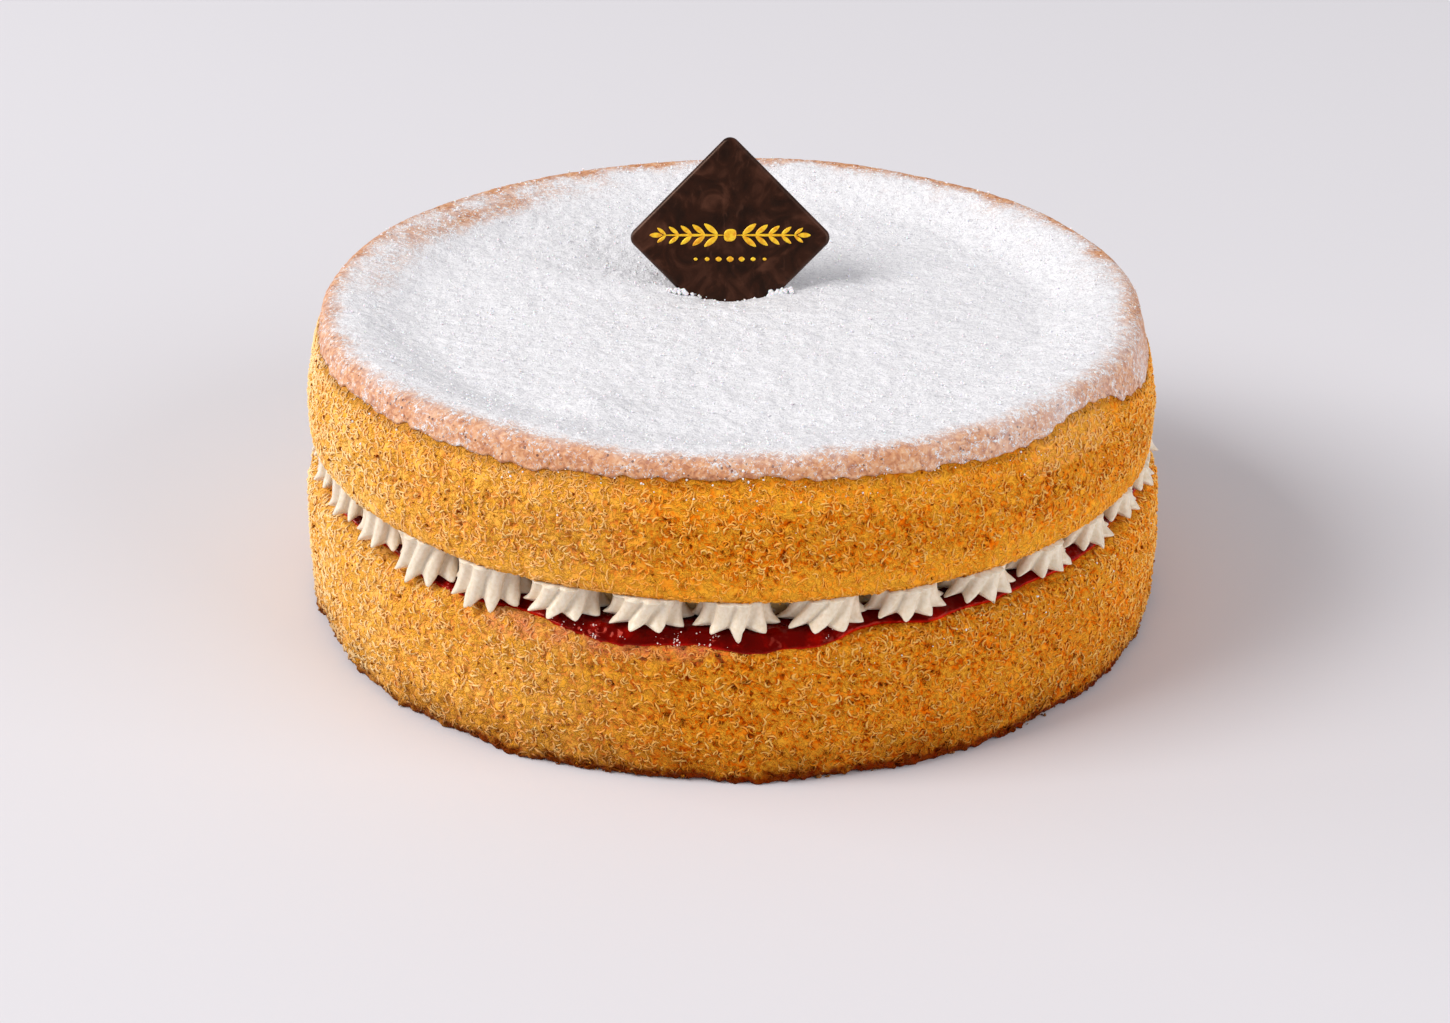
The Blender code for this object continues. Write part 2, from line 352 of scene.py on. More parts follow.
def select_edges(obj: Piece, wanted: Callable[[Vector, Vector], bool]) -> None:
    """Select the edges of the piece in edit mode whose two ends pass a test.

    Args:
        obj: the piece being edited.
        wanted: takes the edge's two ends.
    """
    bpy.ops.mesh.select_all(action="DESELECT")
    bpy.ops.mesh.select_mode(type="EDGE")
    shape = bmesh.from_edit_mesh(obj.data)
    for edge in shape.edges:
        if wanted(edge.verts[0].co, edge.verts[1].co):
            edge.select_set(True)
    bmesh.update_edit_mesh(obj.data)


def ringed_drum(name: str, count: int, rings: int) -> Piece:
    """A drum of radius 1 and height 1 from z = 0, its wall divided into rings and its ends into fans.

    Args:
        name: the piece's name.
        count: faces once round.
        rings: faces from the bottom of the wall to its top.

    Returns:
        The new object.
    """
    deselect_all()
    bpy.ops.mesh.primitive_cylinder_add(
        vertices=count, radius=1, depth=1, location=(0, 0, 0.5), end_fill_type="TRIFAN"
    )
    drum = bpy.context.object
    drum.name = drum.data.name = name
    bpy.ops.object.transform_apply(location=True, rotation=False, scale=False)
    bpy.ops.object.mode_set(mode="EDIT")
    select_edges(drum, lambda a, b: abs(a.z - b.z) > 0.5)
    bpy.ops.mesh.subdivide(number_cuts=rings - 1)
    bpy.ops.object.mode_set(mode="OBJECT")
    return drum


def joined_mesh(name: str, points: Array, triangles: Array) -> Piece:
    """One object of many small closed shapes.

    Args:
        name: the piece's name.
        points: one row of three for each vertex.
        triangles: three vertex numbers for each triangle.

    Returns:
        The new object.
    """
    mesh = bpy.data.meshes.new(name)
    mesh.vertices.add(len(points))
    mesh.vertices.foreach_set("co", points.astype(np.float32).ravel())
    mesh.loops.add(triangles.size)
    mesh.loops.foreach_set("vertex_index", triangles.astype(np.int32).ravel())
    mesh.polygons.add(len(triangles))
    mesh.polygons.foreach_set("loop_start", np.arange(0, triangles.size, 3, dtype=np.int32))
    mesh.update(calc_edges=True)
    mesh.validate()
    joined = bpy.data.objects.new(name, mesh)
    bpy.context.scene.collection.objects.link(joined)
    return joined


@dataclass(frozen=True)
class Loft:
    """A smooth outline through a few stations, for a wall whose outline differs round the cake."""

    shares: Sequence[float]
    radii: Sequence[Array]
    heights: Sequence[Array]

    @classmethod
    def through(cls, shares: Sequence[float], stations: Sequence[tuple[Array, Array]]) -> Loft:
        """An outline through stations that are each a radius and a height."""
        return cls(shares, [radius for radius, _ in stations], [height for _, height in stations])

    def at(self, share: Array) -> tuple[Array, Array]:
        """Where each vertex goes.

        Args:
            share: 0 at the first station and 1 at the last, for each vertex.

        Returns:
            Radius and height for each vertex.
        """
        shares = np.asarray(self.shares)
        last = len(shares) - 1
        index = np.clip(np.searchsorted(shares, share, side="right") - 1, 0, last - 1)
        part = (share - shares[index]) / (shares[index + 1] - shares[index])
        every = np.arange(len(share))
        results = []
        for values in (self.radii, self.heights):
            table = np.stack([np.broadcast_to(v, share.shape) for v in values])
            here, after = table[index, every], table[index + 1, every]
            step = shares[index + 1] - shares[index]
            slopes = []
            for at in (index, index + 1):
                low, high = np.clip(at - 1, 0, last), np.clip(at + 1, 0, last)
                rise = table[high, every] - table[low, every]
                slopes.append(rise / (shares[high] - shares[low]) * step)
            p2, p3 = part**2, part**3
            results.append(
                (2 * p3 - 3 * p2 + 1) * here
                + (p3 - 2 * p2 + part) * slopes[0]
                + (3 * p2 - 2 * p3) * after
                + (p3 - p2) * slopes[1]
            )
        return results[0], results[1]

    def normal(self, share: Array) -> tuple[Array, Array]:
        """Which way the wall faces at each vertex, as its outward and its upward part."""
        step = 0.002
        r0, z0 = self.at(np.clip(share - step, 0, 1))
        r1, z1 = self.at(np.clip(share + step, 0, 1))
        length = np.hypot(r1 - r0, z1 - z0) + 1e-12
        return (z1 - z0) / length, -(r1 - r0) / length


def keep_piece(obj: Piece, replaces: Sequence[str] = ()) -> Piece:
    """Hang a finished piece on the cake's body.

    Args:
        obj: the piece, in place.
        replaces: the CAD nodes that it stands for.

    Returns:
        The same piece.
    """
    deselect_all()
    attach(obj, "root")
    if replaces:
        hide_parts(*replaces)
    obj.data.calc_loop_triangles()
    log.info("%s: %d triangles", obj.name, len(obj.data.loop_triangles))
    return obj


def dress(obj: Piece, material: bpy.types.Material, smooth: bool = True) -> None:
    """Give a piece its finish, and smooth or flat faces."""
    obj.data.materials.clear()
    obj.data.materials.append(material)
    obj.data.polygons.foreach_set("use_smooth", [smooth] * len(obj.data.polygons))


# ----------------------------------------------------------------------------------------------------------
# Finishes


def linear(colour: str) -> tuple[float, float, float, float]:
    """An sRGB hex colour as linear light."""
    parts = (int(colour[at : at + 2], 16) / 255 for at in (1, 3, 5))
    return (*(c / 12.92 if c <= 0.04045 else ((c + 0.055) / 1.055) ** 2.4 for c in parts), 1.0)


def feed(tree: Tree, node: bpy.types.Node, inputs: Inputs) -> None:
    """Set or link a node's inputs.

    Args:
        tree: the material's nodes.
        node: the node to feed.
        inputs: for each input by name or number, a value or the socket to link.
    """
    for key, value in inputs.items():
        if isinstance(value, Socket):
            tree.links.new(value, node.inputs[key])
        else:
            node.inputs[key].default_value = value


def add_node(
    tree: Tree,
    kind: str,
    inputs: Inputs | None = None,
    out: str | int = 0,
    stops: Sequence[tuple[float, str]] = (),
    **settings: object,
) -> Socket:
    """Add one shader node.

    Args:
        tree: the material's nodes.
        kind: the node's type, without the word ShaderNode in front.
        inputs: for each input by name or number, a value or the socket to link.
        out: the output that is wanted, by name or number.
        stops: for a colour ramp, its places and hex colours.
        **settings: the node's own settings.

    Returns:
        The socket of the node's output.
    """
    node = tree.nodes.new("ShaderNode" + kind)
    for key, value in settings.items():
        setattr(node, key, value)
    feed(tree, node, inputs or {})
    if stops:
        ramp = node.color_ramp.elements
        while len(ramp) < len(stops):
            ramp.new(0.5)
        for element, (place, colour) in zip(ramp, stops):
            element.position = place
            element.color = linear(colour)
    return node.outputs[out]


@dataclass(frozen=True)
class Finish:
    """A real material. Each kind of finish adds its own nodes."""

    name: str

    def make(self) -> bpy.types.Material:
        """The Blender material, made once for each finish."""
        if self.name in bpy.data.materials:
            return bpy.data.materials[self.name]
        material = bpy.data.materials.new(self.name)
        material.use_nodes = True
        tree = material.node_tree
        feed(tree, tree.nodes.get("Principled BSDF"), self.shade(tree))
        return material

    def shade(self, tree: Tree) -> Inputs:
        """Add the finish's nodes, and say what goes into each of the shader's inputs."""
        raise NotImplementedError

    @staticmethod
    def marks(tree: Tree, *names: str) -> list[Socket]:
        """The sockets of the numbers that a piece's mesh carries for its finish."""
        return [add_node(tree, "Attribute", out="Fac", attribute_name=name) for name in names]

    @staticmethod
    def layered(tree: Tree, colour: Socket, layers: Sequence[Layer]) -> Socket:
        """Lay plain colours over another, one after the other.

        Args:
            tree: the material's nodes.
            colour: the socket of the first colour.
            layers: each the socket of a share from 0 to 1, a hex colour and the way it is laid on.

        Returns:
            The socket of the finished colour.
        """
        for share, tint, way in layers:
            inputs = {"Factor": share, 6: colour, 7: linear(tint)}
            colour = add_node(tree, "Mix", inputs, 2, data_type="RGBA", blend_type=way)
        return colour


@dataclass(frozen=True)
class SpongeCrumb(Finish):
    """Whisked sponge: matt golden crumb of thin curled strands round open pores."""

    name: str = "baked_sponge_crumb"
    strand: str = "#FFB232"
    body: str = "#F87800"
    # The hollow and pore tones are painted shade: darker colours for crumb that lies deeper.
    hollow: str = "#C04A00"
    pore: str = "#7C3000"
    pale: str = "#FFAA2C"
    # This tone lightens the cake's left side: partly lighter baking, partly painted light.
    pale_and_lit: str = "#FFC46A"
    sheen: str = "#FFB050"
    # This multiplied tone is real browning and also painted shade low on the walls and under the crust.
    browned_and_shaded: str = "#7A4A10"
    stain: str = "#E27A66"
    strands: Sequence[tuple[float, float]] = ((1.5 * MM, 0.0), (1.1 * MM, 0.31), (1.9 * MM, 0.77))

    def curls(self, tree: Tree, place: Socket) -> tuple[Socket, Socket]:
        """Curled strands in broken lengths, and the pits that they run round.

        Args:
            tree: the material's nodes.
            place: where each point lies.

        Returns:
            The sockets of the strands and of the pits, each from 0 to 1.
        """
        strand = pit = None
        for size, shift in self.strands:
            moved = add_node(tree, "VectorMath", {0: place, 1: (shift, shift, shift)}, operation="ADD")
            noise = add_node(
                tree, "TexNoise", {"Vector": moved, "Scale": 1 / size, "Detail": 0.6, "Distortion": 0.9}
            )
            away = add_node(tree, "Math", {0: noise, 1: 0.5}, operation="SUBTRACT")
            away = add_node(tree, "Math", {0: away}, operation="ABSOLUTE")
            line = {"Value": away, "From Min": 0.012, "From Max": 0.065, "To Min": 1.0, "To Max": 0.0}
            line = add_node(tree, "MapRange", line, **SMOOTH)
            gate = add_node(tree, "TexNoise", {"Vector": moved, "Scale": 0.55 / size, "Detail": 1.0})
            gate = add_node(tree, "MapRange", {"Value": gate, "From Min": 0.42, "From Max": 0.54}, **SMOOTH)
            line = add_node(tree, "Math", {0: line, 1: gate}, operation="MULTIPLY")
            hole = add_node(tree, "MapRange", {"Value": noise, "From Min": 0.60, "From Max": 0.76}, **SMOOTH)
            if strand is None:
                strand, pit = line, hole
            else:
                strand = add_node(tree, "Math", {0: strand, 1: line}, operation="MAXIMUM")
                pit = add_node(tree, "Math", {0: pit, 1: hole}, operation="MAXIMUM")
        return strand, pit

    def shade(self, tree: Tree) -> Inputs:
        """Strands and pits, with painted shade: the colour darkens with depth into the hollows and pores."""
        place = add_node(tree, "TexCoord", out="Object")
        relief, even, pale_and_lit, browned_and_shaded, stain = self.marks(tree, "relief", "even", "pale_and_lit", "browned_and_shaded", "stain")
        strand, pit = self.curls(tree, place)
        rough = add_node(tree, "Math", {0: even, 1: -0.5, 2: 1.0}, operation="MULTIPLY_ADD")
        pit = add_node(tree, "Math", {0: pit, 1: rough}, operation="MULTIPLY")
        depth_shade = add_node(tree, "Math", {0: pit, 1: -0.42, 2: relief}, operation="MULTIPLY_ADD")
        level = add_node(tree, "Math", {0: even, 1: 0.16, 2: depth_shade}, operation="MULTIPLY_ADD")
        # Painted shade: the tone darkens from the strand colour on the crests down to the pore colour in the
        # deepest pits.
        stops = ((0.0, self.pore), (0.22, self.hollow), (0.5, self.body), (0.95, self.strand))
        tone = add_node(tree, "ValToRGB", {"Fac": level}, stops=stops)
        patches = add_node(tree, "TexNoise", {"Vector": place, "Scale": 1 / (14 * MM), "Detail": 3.0})
        paler = add_node(tree, "MapRange", {"Value": patches, "From Min": 0.50, "From Max": 0.74}, **SMOOTH)
        paler = add_node(tree, "Math", {0: paler, 1: 0.35, 2: even}, operation="MULTIPLY_ADD")
        paler = add_node(tree, "Math", {0: paler, 1: 0.45}, operation="MULTIPLY")
        bright = add_node(tree, "Math", {0: strand, 1: 0.9}, operation="MULTIPLY")
        layers = (
            (paler, self.pale, "MIX"),
            (pale_and_lit, self.pale_and_lit, "MIX"),
            (bright, self.strand, "MIX"),
            (browned_and_shaded, self.browned_and_shaded, "MULTIPLY"),
            (stain, self.stain, "MIX"),
        )
        lifted = add_node(tree, "Math", {0: pit, 1: -0.8, 2: strand}, operation="MULTIPLY_ADD")
        return {
            "Base Color": self.layered(tree, tone, layers),
            "Roughness": add_node(tree, "MapRange", {"Value": strand, "To Min": 0.75, "To Max": 0.42}),
            "Normal": add_node(tree, "Bump", {"Height": lifted, "Strength": 0.9, "Distance": 0.42 * MM}),
            "Specular IOR Level": 0.12,
            "Specular Tint": linear(self.sheen),
        }


@dataclass(frozen=True)
class CrumbStrand(SpongeCrumb):
    """Single strands of the same crumb, lighter where they stand out and a little shiny."""

    name: str = "baked_sponge_strand"
    bright: str = "#FFD076"
    dull: str = "#FFA01A"
    # This tone lightens the strands on the cake's left: partly lighter baking, partly painted light.
    pale_and_lit: str = "#FFE0A6"

    def shade(self, tree: Tree) -> Inputs:
        """One colour for each strand, from dull to bright."""
        relief, even, pale_and_lit, browned_and_shaded, stain = self.marks(tree, "relief", "even", "pale_and_lit", "browned_and_shaded", "stain")
        tone = add_node(tree, "ValToRGB", {"Fac": relief}, stops=((0.0, self.dull), (1.0, self.bright)))
        layers = (
            (add_node(tree, "Math", {0: even, 1: 0.5}, operation="MULTIPLY"), self.pale, "MIX"),
            (pale_and_lit, self.pale_and_lit, "MIX"),
            (browned_and_shaded, self.browned_and_shaded, "MULTIPLY"),
            (stain, self.stain, "MIX"),
        )
        return {
            "Base Color": self.layered(tree, tone, layers),
            "Roughness": 0.34,
            "Specular IOR Level": 0.35,
            "Specular Tint": linear(self.sheen),
        }


@dataclass(frozen=True)
class SugaredCrust(Finish):
    """Baked top crust, a thin pinkish-tan skin with burst bubbles, under sifted icing sugar."""

    name: str = "sugared_crust"
    crust: str = "#D28C56"
    crust_deep: str = "#AC602C"
    crust_pale: str = "#E6B284"
    pinhole: str = "#74340F"
    sugar: str = "#F1F0F3"
    sugar_shade: str = "#D9D8DE"
    bubble: float = 1.6 * MM

    def shade(self, tree: Tree) -> Inputs:
        """Crust with pinholes, and sugar over it as thick as its attribute says."""
        place = add_node(tree, "TexCoord", out="Object")
        mottle, some, grains, clumps, bent = (
            add_node(tree, "TexNoise", {"Vector": place, "Scale": 1 / size, **more})
            for size, more in (
                (1.3 * MM, {"Detail": 3.0, "Distortion": 0.8}),
                (4 * MM, {"Detail": 1.0}),
                (0.75 * MM, {"Detail": 2.0, "Distortion": 1.0}),
                (2.6 * MM, {"Detail": 3.0, "Roughness": 0.6}),
                (1.5 * MM, {"Detail": 1.0, "Distortion": 1.4}),
            )
        )
        open_hole = self.pinholes(tree, place, some)
        stops = ((0.32, self.crust_deep), (0.5, self.crust), (0.68, self.crust_pale))
        skin = add_node(tree, "ValToRGB", {"Fac": mottle}, stops=stops)
        skin = self.layered(tree, skin, [(open_hole, self.pinhole, "MIX")])
        level = add_node(tree, "Math", {0: grains, 1: 1.3, 2: -0.65}, operation="MULTIPLY_ADD")
        lumpy = add_node(tree, "Math", {0: clumps, 1: 1.2, 2: -0.6}, operation="MULTIPLY_ADD")
        spread = add_node(tree, "Math", {0: level, 1: lumpy}, operation="ADD")
        mask = self.dusting(tree, place, bent, spread)
        # Painted shade: the powder turns grey where its grains lie low.
        stops = ((0.30, self.sugar_shade), (0.52, self.sugar))
        powder = add_node(tree, "ValToRGB", {"Fac": grains}, stops=stops)
        sunk = add_node(tree, "Math", {0: open_hole, 1: -0.8}, operation="MULTIPLY")
        bare = add_node(tree, "Math", {0: mottle, 1: 0.7, 2: sunk}, operation="MULTIPLY_ADD")
        grainy = add_node(tree, "Math", {0: grains, 1: 1.0, 2: lumpy}, operation="MULTIPLY_ADD")
        height = add_node(tree, "Mix", {0: mask, 2: bare, 3: grainy}, data_type="FLOAT")
        return {
            "Base Color": add_node(tree, "Mix", {"Factor": mask, 6: skin, 7: powder}, 2, data_type="RGBA"),
            "Roughness": add_node(tree, "MapRange", {"Value": mask, "To Min": 0.55, "To Max": 0.92}),
            "Normal": add_node(tree, "Bump", {"Height": height, "Strength": 0.85, "Distance": 0.46 * MM}),
            "IOR": 1.4,
        }

    def pinholes(self, tree: Tree, place: Socket, some: Socket) -> Socket:
        """Burst bubbles in the crust, in some places only.

        Args:
            tree: the material's nodes.
            place: where each point lies.
            some: a slow noise that says where they are.

        Returns:
            The socket of the holes, 1 inside them and 0 outside.
        """
        holes = add_node(tree, "TexVoronoi", {"Vector": place, "Scale": 1 / self.bubble, "Randomness": 1.0})
        limits = {"From Min": 0.13, "From Max": 0.21, "To Min": 1.0, "To Max": 0.0}
        hole = add_node(tree, "MapRange", {"Value": holes, **limits}, **SMOOTH)
        some = add_node(tree, "MapRange", {"Value": some, "From Min": 0.45, "From Max": 0.6})
        return add_node(tree, "Math", {0: hole, 1: some}, operation="MULTIPLY")

    def dusting(self, tree: Tree, place: Socket, bent: Socket, spread: Socket) -> Socket:
        """How much of the crust the sugar hides: in grains and curls, with a thin veil between them.

        Args:
            tree: the material's nodes.
            place: where each point lies.
            bent: the noise that the curls run along.
            spread: how the grains and clumps lie, about 0.

        Returns:
            The socket of the sugar's share, from 0 to 1.
        """
        (cover,) = self.marks(tree, "sugar")
        away = add_node(tree, "Math", {0: bent, 1: 0.5}, operation="SUBTRACT")
        away = add_node(tree, "Math", {0: away}, operation="ABSOLUTE")
        limits = {"From Min": 0.015, "From Max": 0.075, "To Min": 1.0, "To Max": 0.0}
        curls = add_node(tree, "MapRange", {"Value": away, **limits}, **SMOOTH)
        curled = add_node(tree, "Math", {0: curls, 1: 0.30, 2: spread}, operation="MULTIPLY_ADD")
        dusted = add_node(tree, "Math", {0: curled, 1: cover}, operation="ADD")
        mask = add_node(tree, "MapRange", {"Value": dusted, "From Min": 0.26, "From Max": 0.86}, **SMOOTH)
        rare = add_node(tree, "TexVoronoi", {"Vector": place, "Scale": 1 / (4.2 * MM)})
        limits = {"From Min": 0.05, "From Max": 0.085, "To Min": 0.8, "To Max": 0.0}
        spot = add_node(tree, "MapRange", {"Value": rare, **limits})
        clear = add_node(tree, "Math", {0: mask, 1: spot}, operation="SUBTRACT", use_clamp=True)
        veil = add_node(tree, "MapRange", {"Value": cover, "From Min": 0.12, "From Max": 0.84}, **SMOOTH)
        veil = add_node(tree, "Math", {0: veil, 1: 0.86, 2: 0.06}, operation="MULTIPLY_ADD")
        return add_node(tree, "Math", {0: clear, 1: veil}, operation="MAXIMUM")


@dataclass(frozen=True)
class Toned(Finish):
    """A finish whose colour drifts between a few tones in patches of one size."""

    tones: Sequence[tuple[float, str]] = ()
    patch: float = 1.5 * MM
    more: Inputs = field(default_factory=lambda: {"Detail": 2.0})

    def toned(self, tree: Tree) -> tuple[Socket, Socket]:
        """The sockets of the colour and of the noise that it follows."""
        place = add_node(tree, "TexCoord", out="Object")
        noise = add_node(tree, "TexNoise", {"Vector": place, "Scale": 1 / self.patch, **self.more})
        return add_node(tree, "ValToRGB", {"Fac": noise}, stops=self.tones), noise


@dataclass(frozen=True)
class IcingSugar(Toned):
    """Loose icing sugar: dead white grains that glow a little at their edges."""

    name: str = "icing_sugar"
    tones: Sequence[tuple[float, str]] = ((0.3, "#EDECEF"), (0.6, "#F2F1F4"))

    def shade(self, tree: Tree) -> Inputs:
        """A pale powder with faint tone differences from grain to grain."""
        colour, _ = self.toned(tree)
        glow = {"Subsurface Weight": 0.2, "Subsurface Scale": 0.3 * MM}
        return {"Base Color": colour, "Roughness": 0.85, **glow}


@dataclass(frozen=True)
class WhippedCream(Toned):
    """Piped whipped cream: smooth, satin, lit from within, with the faintest tiny air bubbles."""

    name: str = "whipped_cream_satin"
    tones: Sequence[tuple[float, str]] = ((0.25, "#DAC8AC"), (0.6, "#E8DBC8"))
    patch: float = 0.8 * MM
    more: Inputs = field(default_factory=lambda: {"Detail": 3.0, "Roughness": 0.6})

    def shade(self, tree: Tree) -> Inputs:
        """A soft white that light enters, with a very shallow bump."""
        colour, noise = self.toned(tree)
        return {
            "Base Color": colour,
            "Normal": add_node(tree, "Bump", {"Height": noise, "Strength": 0.12, "Distance": 0.12 * MM}),
            "Roughness": 0.34,
            "Subsurface Weight": 0.32,
            "Subsurface Radius": (1.0, 0.8, 0.6),
            "Subsurface Scale": 1.6 * MM,
            "IOR": 1.42,
        }


@dataclass(frozen=True)
class RedJam(Finish):
    """Set raspberry jam: wet and glossy, almost black where thick and clear red where thin."""

    name: str = "set_red_jam"
    thick: str = "#580000"
    middle: str = "#A80600"
    thin: str = "#F02C08"
    sheen: str = "#FF6E58"
    seed_size: float = 1.6 * MM

    def shade(self, tree: Tree) -> Inputs:
        """Red by thickness, under a wet coat with small lumps that catch the light."""
        place = add_node(tree, "TexCoord", out="Object")
        (thin,) = self.marks(tree, "thin")
        noise = {"Vector": place, "Scale": 1 / (2.4 * MM), "Detail": 3.0, "Roughness": 0.6}
        noise = add_node(tree, "TexNoise", noise)
        mix = add_node(tree, "Math", {0: noise, 1: 0.5, 2: thin}, operation="MULTIPLY_ADD")
        stops = ((0.28, self.thick), (0.62, self.middle), (1.0, self.thin))
        seeds = {"Vector": place, "Scale": 1 / self.seed_size}
        seeds = add_node(tree, "TexVoronoi", seeds, feature="SMOOTH_F1")
        bump = {"Height": seeds, "Strength": 0.8, "Distance": 0.5 * MM}
        return {
            "Base Color": add_node(tree, "ValToRGB", {"Fac": mix}, stops=stops),
            "Normal": add_node(tree, "Bump", bump, invert=True),
            "Roughness": 0.12,
            "IOR": 1.45,
            "Subsurface Weight": 0.1,
            "Subsurface Radius": (1.0, 0.05, 0.02),
            "Subsurface Scale": 1.0 * MM,
            "Specular IOR Level": 0.5,
            "Specular Tint": linear(self.sheen),
        }


@dataclass(frozen=True)
class JamGlintBead(Finish):
    """Pale pink wet beads that stand in for small glints of light on the jam: a painted highlight."""

    name: str = "jam_painted_glint"
    colour: str = "#FBE3DC"

    def shade(self, tree: Tree) -> Inputs:
        """One pale colour under a wet gloss."""
        return {"Base Color": linear(self.colour), "Roughness": 0.12, "Specular IOR Level": 0.9}


@dataclass(frozen=True)
class DarkChocolate(Toned):
    """Tempered dark chocolate from a mould: satin, with paler smears and rubbed marks."""

    name: str = "tempered_dark_chocolate"
    smear: str = "#4A2A1E"
    sheen: str = "#F0C4AC"
    tones: Sequence[tuple[float, str]] = ((0.36, "#120301"), (0.52, "#260E06"), (0.74, "#4A2A1E"))
    patch: float = 7 * MM
    more: Inputs = field(default_factory=lambda: {"Detail": 4.0, "Distortion": 1.5})

    def shade(self, tree: Tree) -> Inputs:
        """Cloudy brown with long faint smears and a few scratches."""
        tone, cloud = self.toned(tree)
        place = add_node(tree, "TexCoord", out="Object")
        turned = {"Vector": place, "Rotation": (0, 0.7, 0), "Scale": (1.0, 1.0, 0.16)}
        turned = add_node(tree, "Mapping", turned)
        smear = {"Vector": turned, "Scale": 1 / (1.5 * MM), "Detail": 3.0, "Distortion": 0.8}
        smear = add_node(tree, "TexNoise", smear)
        streak = {"Value": smear, "From Min": 0.60, "From Max": 0.75, "To Max": 0.45}
        streak = add_node(tree, "MapRange", streak, **SMOOTH)
        return {
            "Base Color": self.layered(tree, tone, [(streak, self.smear, "MIX")]),
            "Roughness": add_node(tree, "MapRange", {"Value": smear, "To Min": 0.22, "To Max": 0.48}),
            "Normal": add_node(tree, "Bump", {"Height": cloud, "Strength": 0.25, "Distance": 0.4 * MM}),
            "IOR": 1.46,
            "Specular Tint": linear(self.sheen),
        }


@dataclass(frozen=True)
class FoodGold(Toned):
    """Printed gold food paint: strong yellow with a soft metal shine."""

    name: str = "gold_food_paint"
    tones: Sequence[tuple[float, str]] = ((0.3, "#E89A0A"), (0.6, "#FFD02A"))
    patch: float = 1.2 * MM

    def shade(self, tree: Tree) -> Inputs:
        """Yellow with slight thick and thin places."""
        return {"Base Color": self.toned(tree)[0], "Metallic": 0.25, "Roughness": 0.4}


@dataclass(frozen=True)
class BrownedCrumb(Toned):
    """Dark brown baked crumb, lighter on some bits."""

    name: str = "browned_sponge_crumb"
    tones: Sequence[tuple[float, str]] = ((0.3, "#5E3208"), (0.55, "#9A5E18"), (0.75, "#C98E3C"))
    patch: float = 1.6 * MM

    def shade(self, tree: Tree) -> Inputs:
        """Brown in three tones, and dull."""
        return {"Base Color": self.toned(tree)[0], "Roughness": 0.7}


@dataclass(frozen=True)
class StudioPaper(Finish):
    """Matt pale grey paper under the cake."""

    name: str = "pale_studio_paper"
    colour: str = "#E0DEE3"

    def shade(self, tree: Tree) -> Inputs:
        """A plain matt grey."""
        return {"Base Color": linear(self.colour), "Roughness": 0.9, "Specular IOR Level": 0.1}


# ----------------------------------------------------------------------------------------------------------
# The sponges


@dataclass(frozen=True)
class CrumbRelief:
    """How far the open crumb of a cut or baked wall stands in and out."""

    lump_height: float = 0.40 * MM
    curl_height: float = 0.62 * MM
    pore_depth: float = 0.75 * MM
    wide_pore_depth: float = 1.05 * MM
    lump_cell: float = 8 * MM
    curl_cell: float = 1.9 * MM
    thin_curl_cell: float = 1.25 * MM
    pore_cell: float = 2.3 * MM
    wide_pore_cell: float = 5.5 * MM
    bend_cell: float = 3.2 * MM
    bend_reach: float = 1.4 * MM
    seed: int = 3

    def at(self, points: Array) -> tuple[Array, Array]:
        """The relief at points of a smooth wall.

        Args:
            points: one row of three for each point.

        Returns:
            How far to move each point outward, in metres, and how high it lies in the crumb from 0 to 1.
        """
        lumps = Noise(self.lump_cell, self.seed).lumps(points)
        bent = Noise(self.bend_cell, self.seed + 1).warped(points, self.bend_reach)
        curls = Noise(self.curl_cell, self.seed + 2).ridges(bent, 0.42)
        thin = Noise(self.thin_curl_cell, self.seed + 5).ridges(bent, 0.42)
        pores = Noise(self.pore_cell, self.seed + 3).holes(bent, 0.42)
        wide = Noise(self.wide_pore_cell, self.seed + 4).holes(bent, 0.26)
        curled = np.maximum(curls, 0.8 * thin)
        out = self.lump_height * lumps + self.curl_height * (curled - 0.4)
        out -= self.pore_depth * pores * (1 - 0.5 * curled) + self.wide_pore_depth * wide
        # The finish paints shade from this level: the lower the crumb lies, the darker it is coloured.
        level = 0.34 + 0.56 * curled - 0.50 * pores - 0.42 * wide + 0.16 * lumps
        return out, np.clip(level, 0, 1)


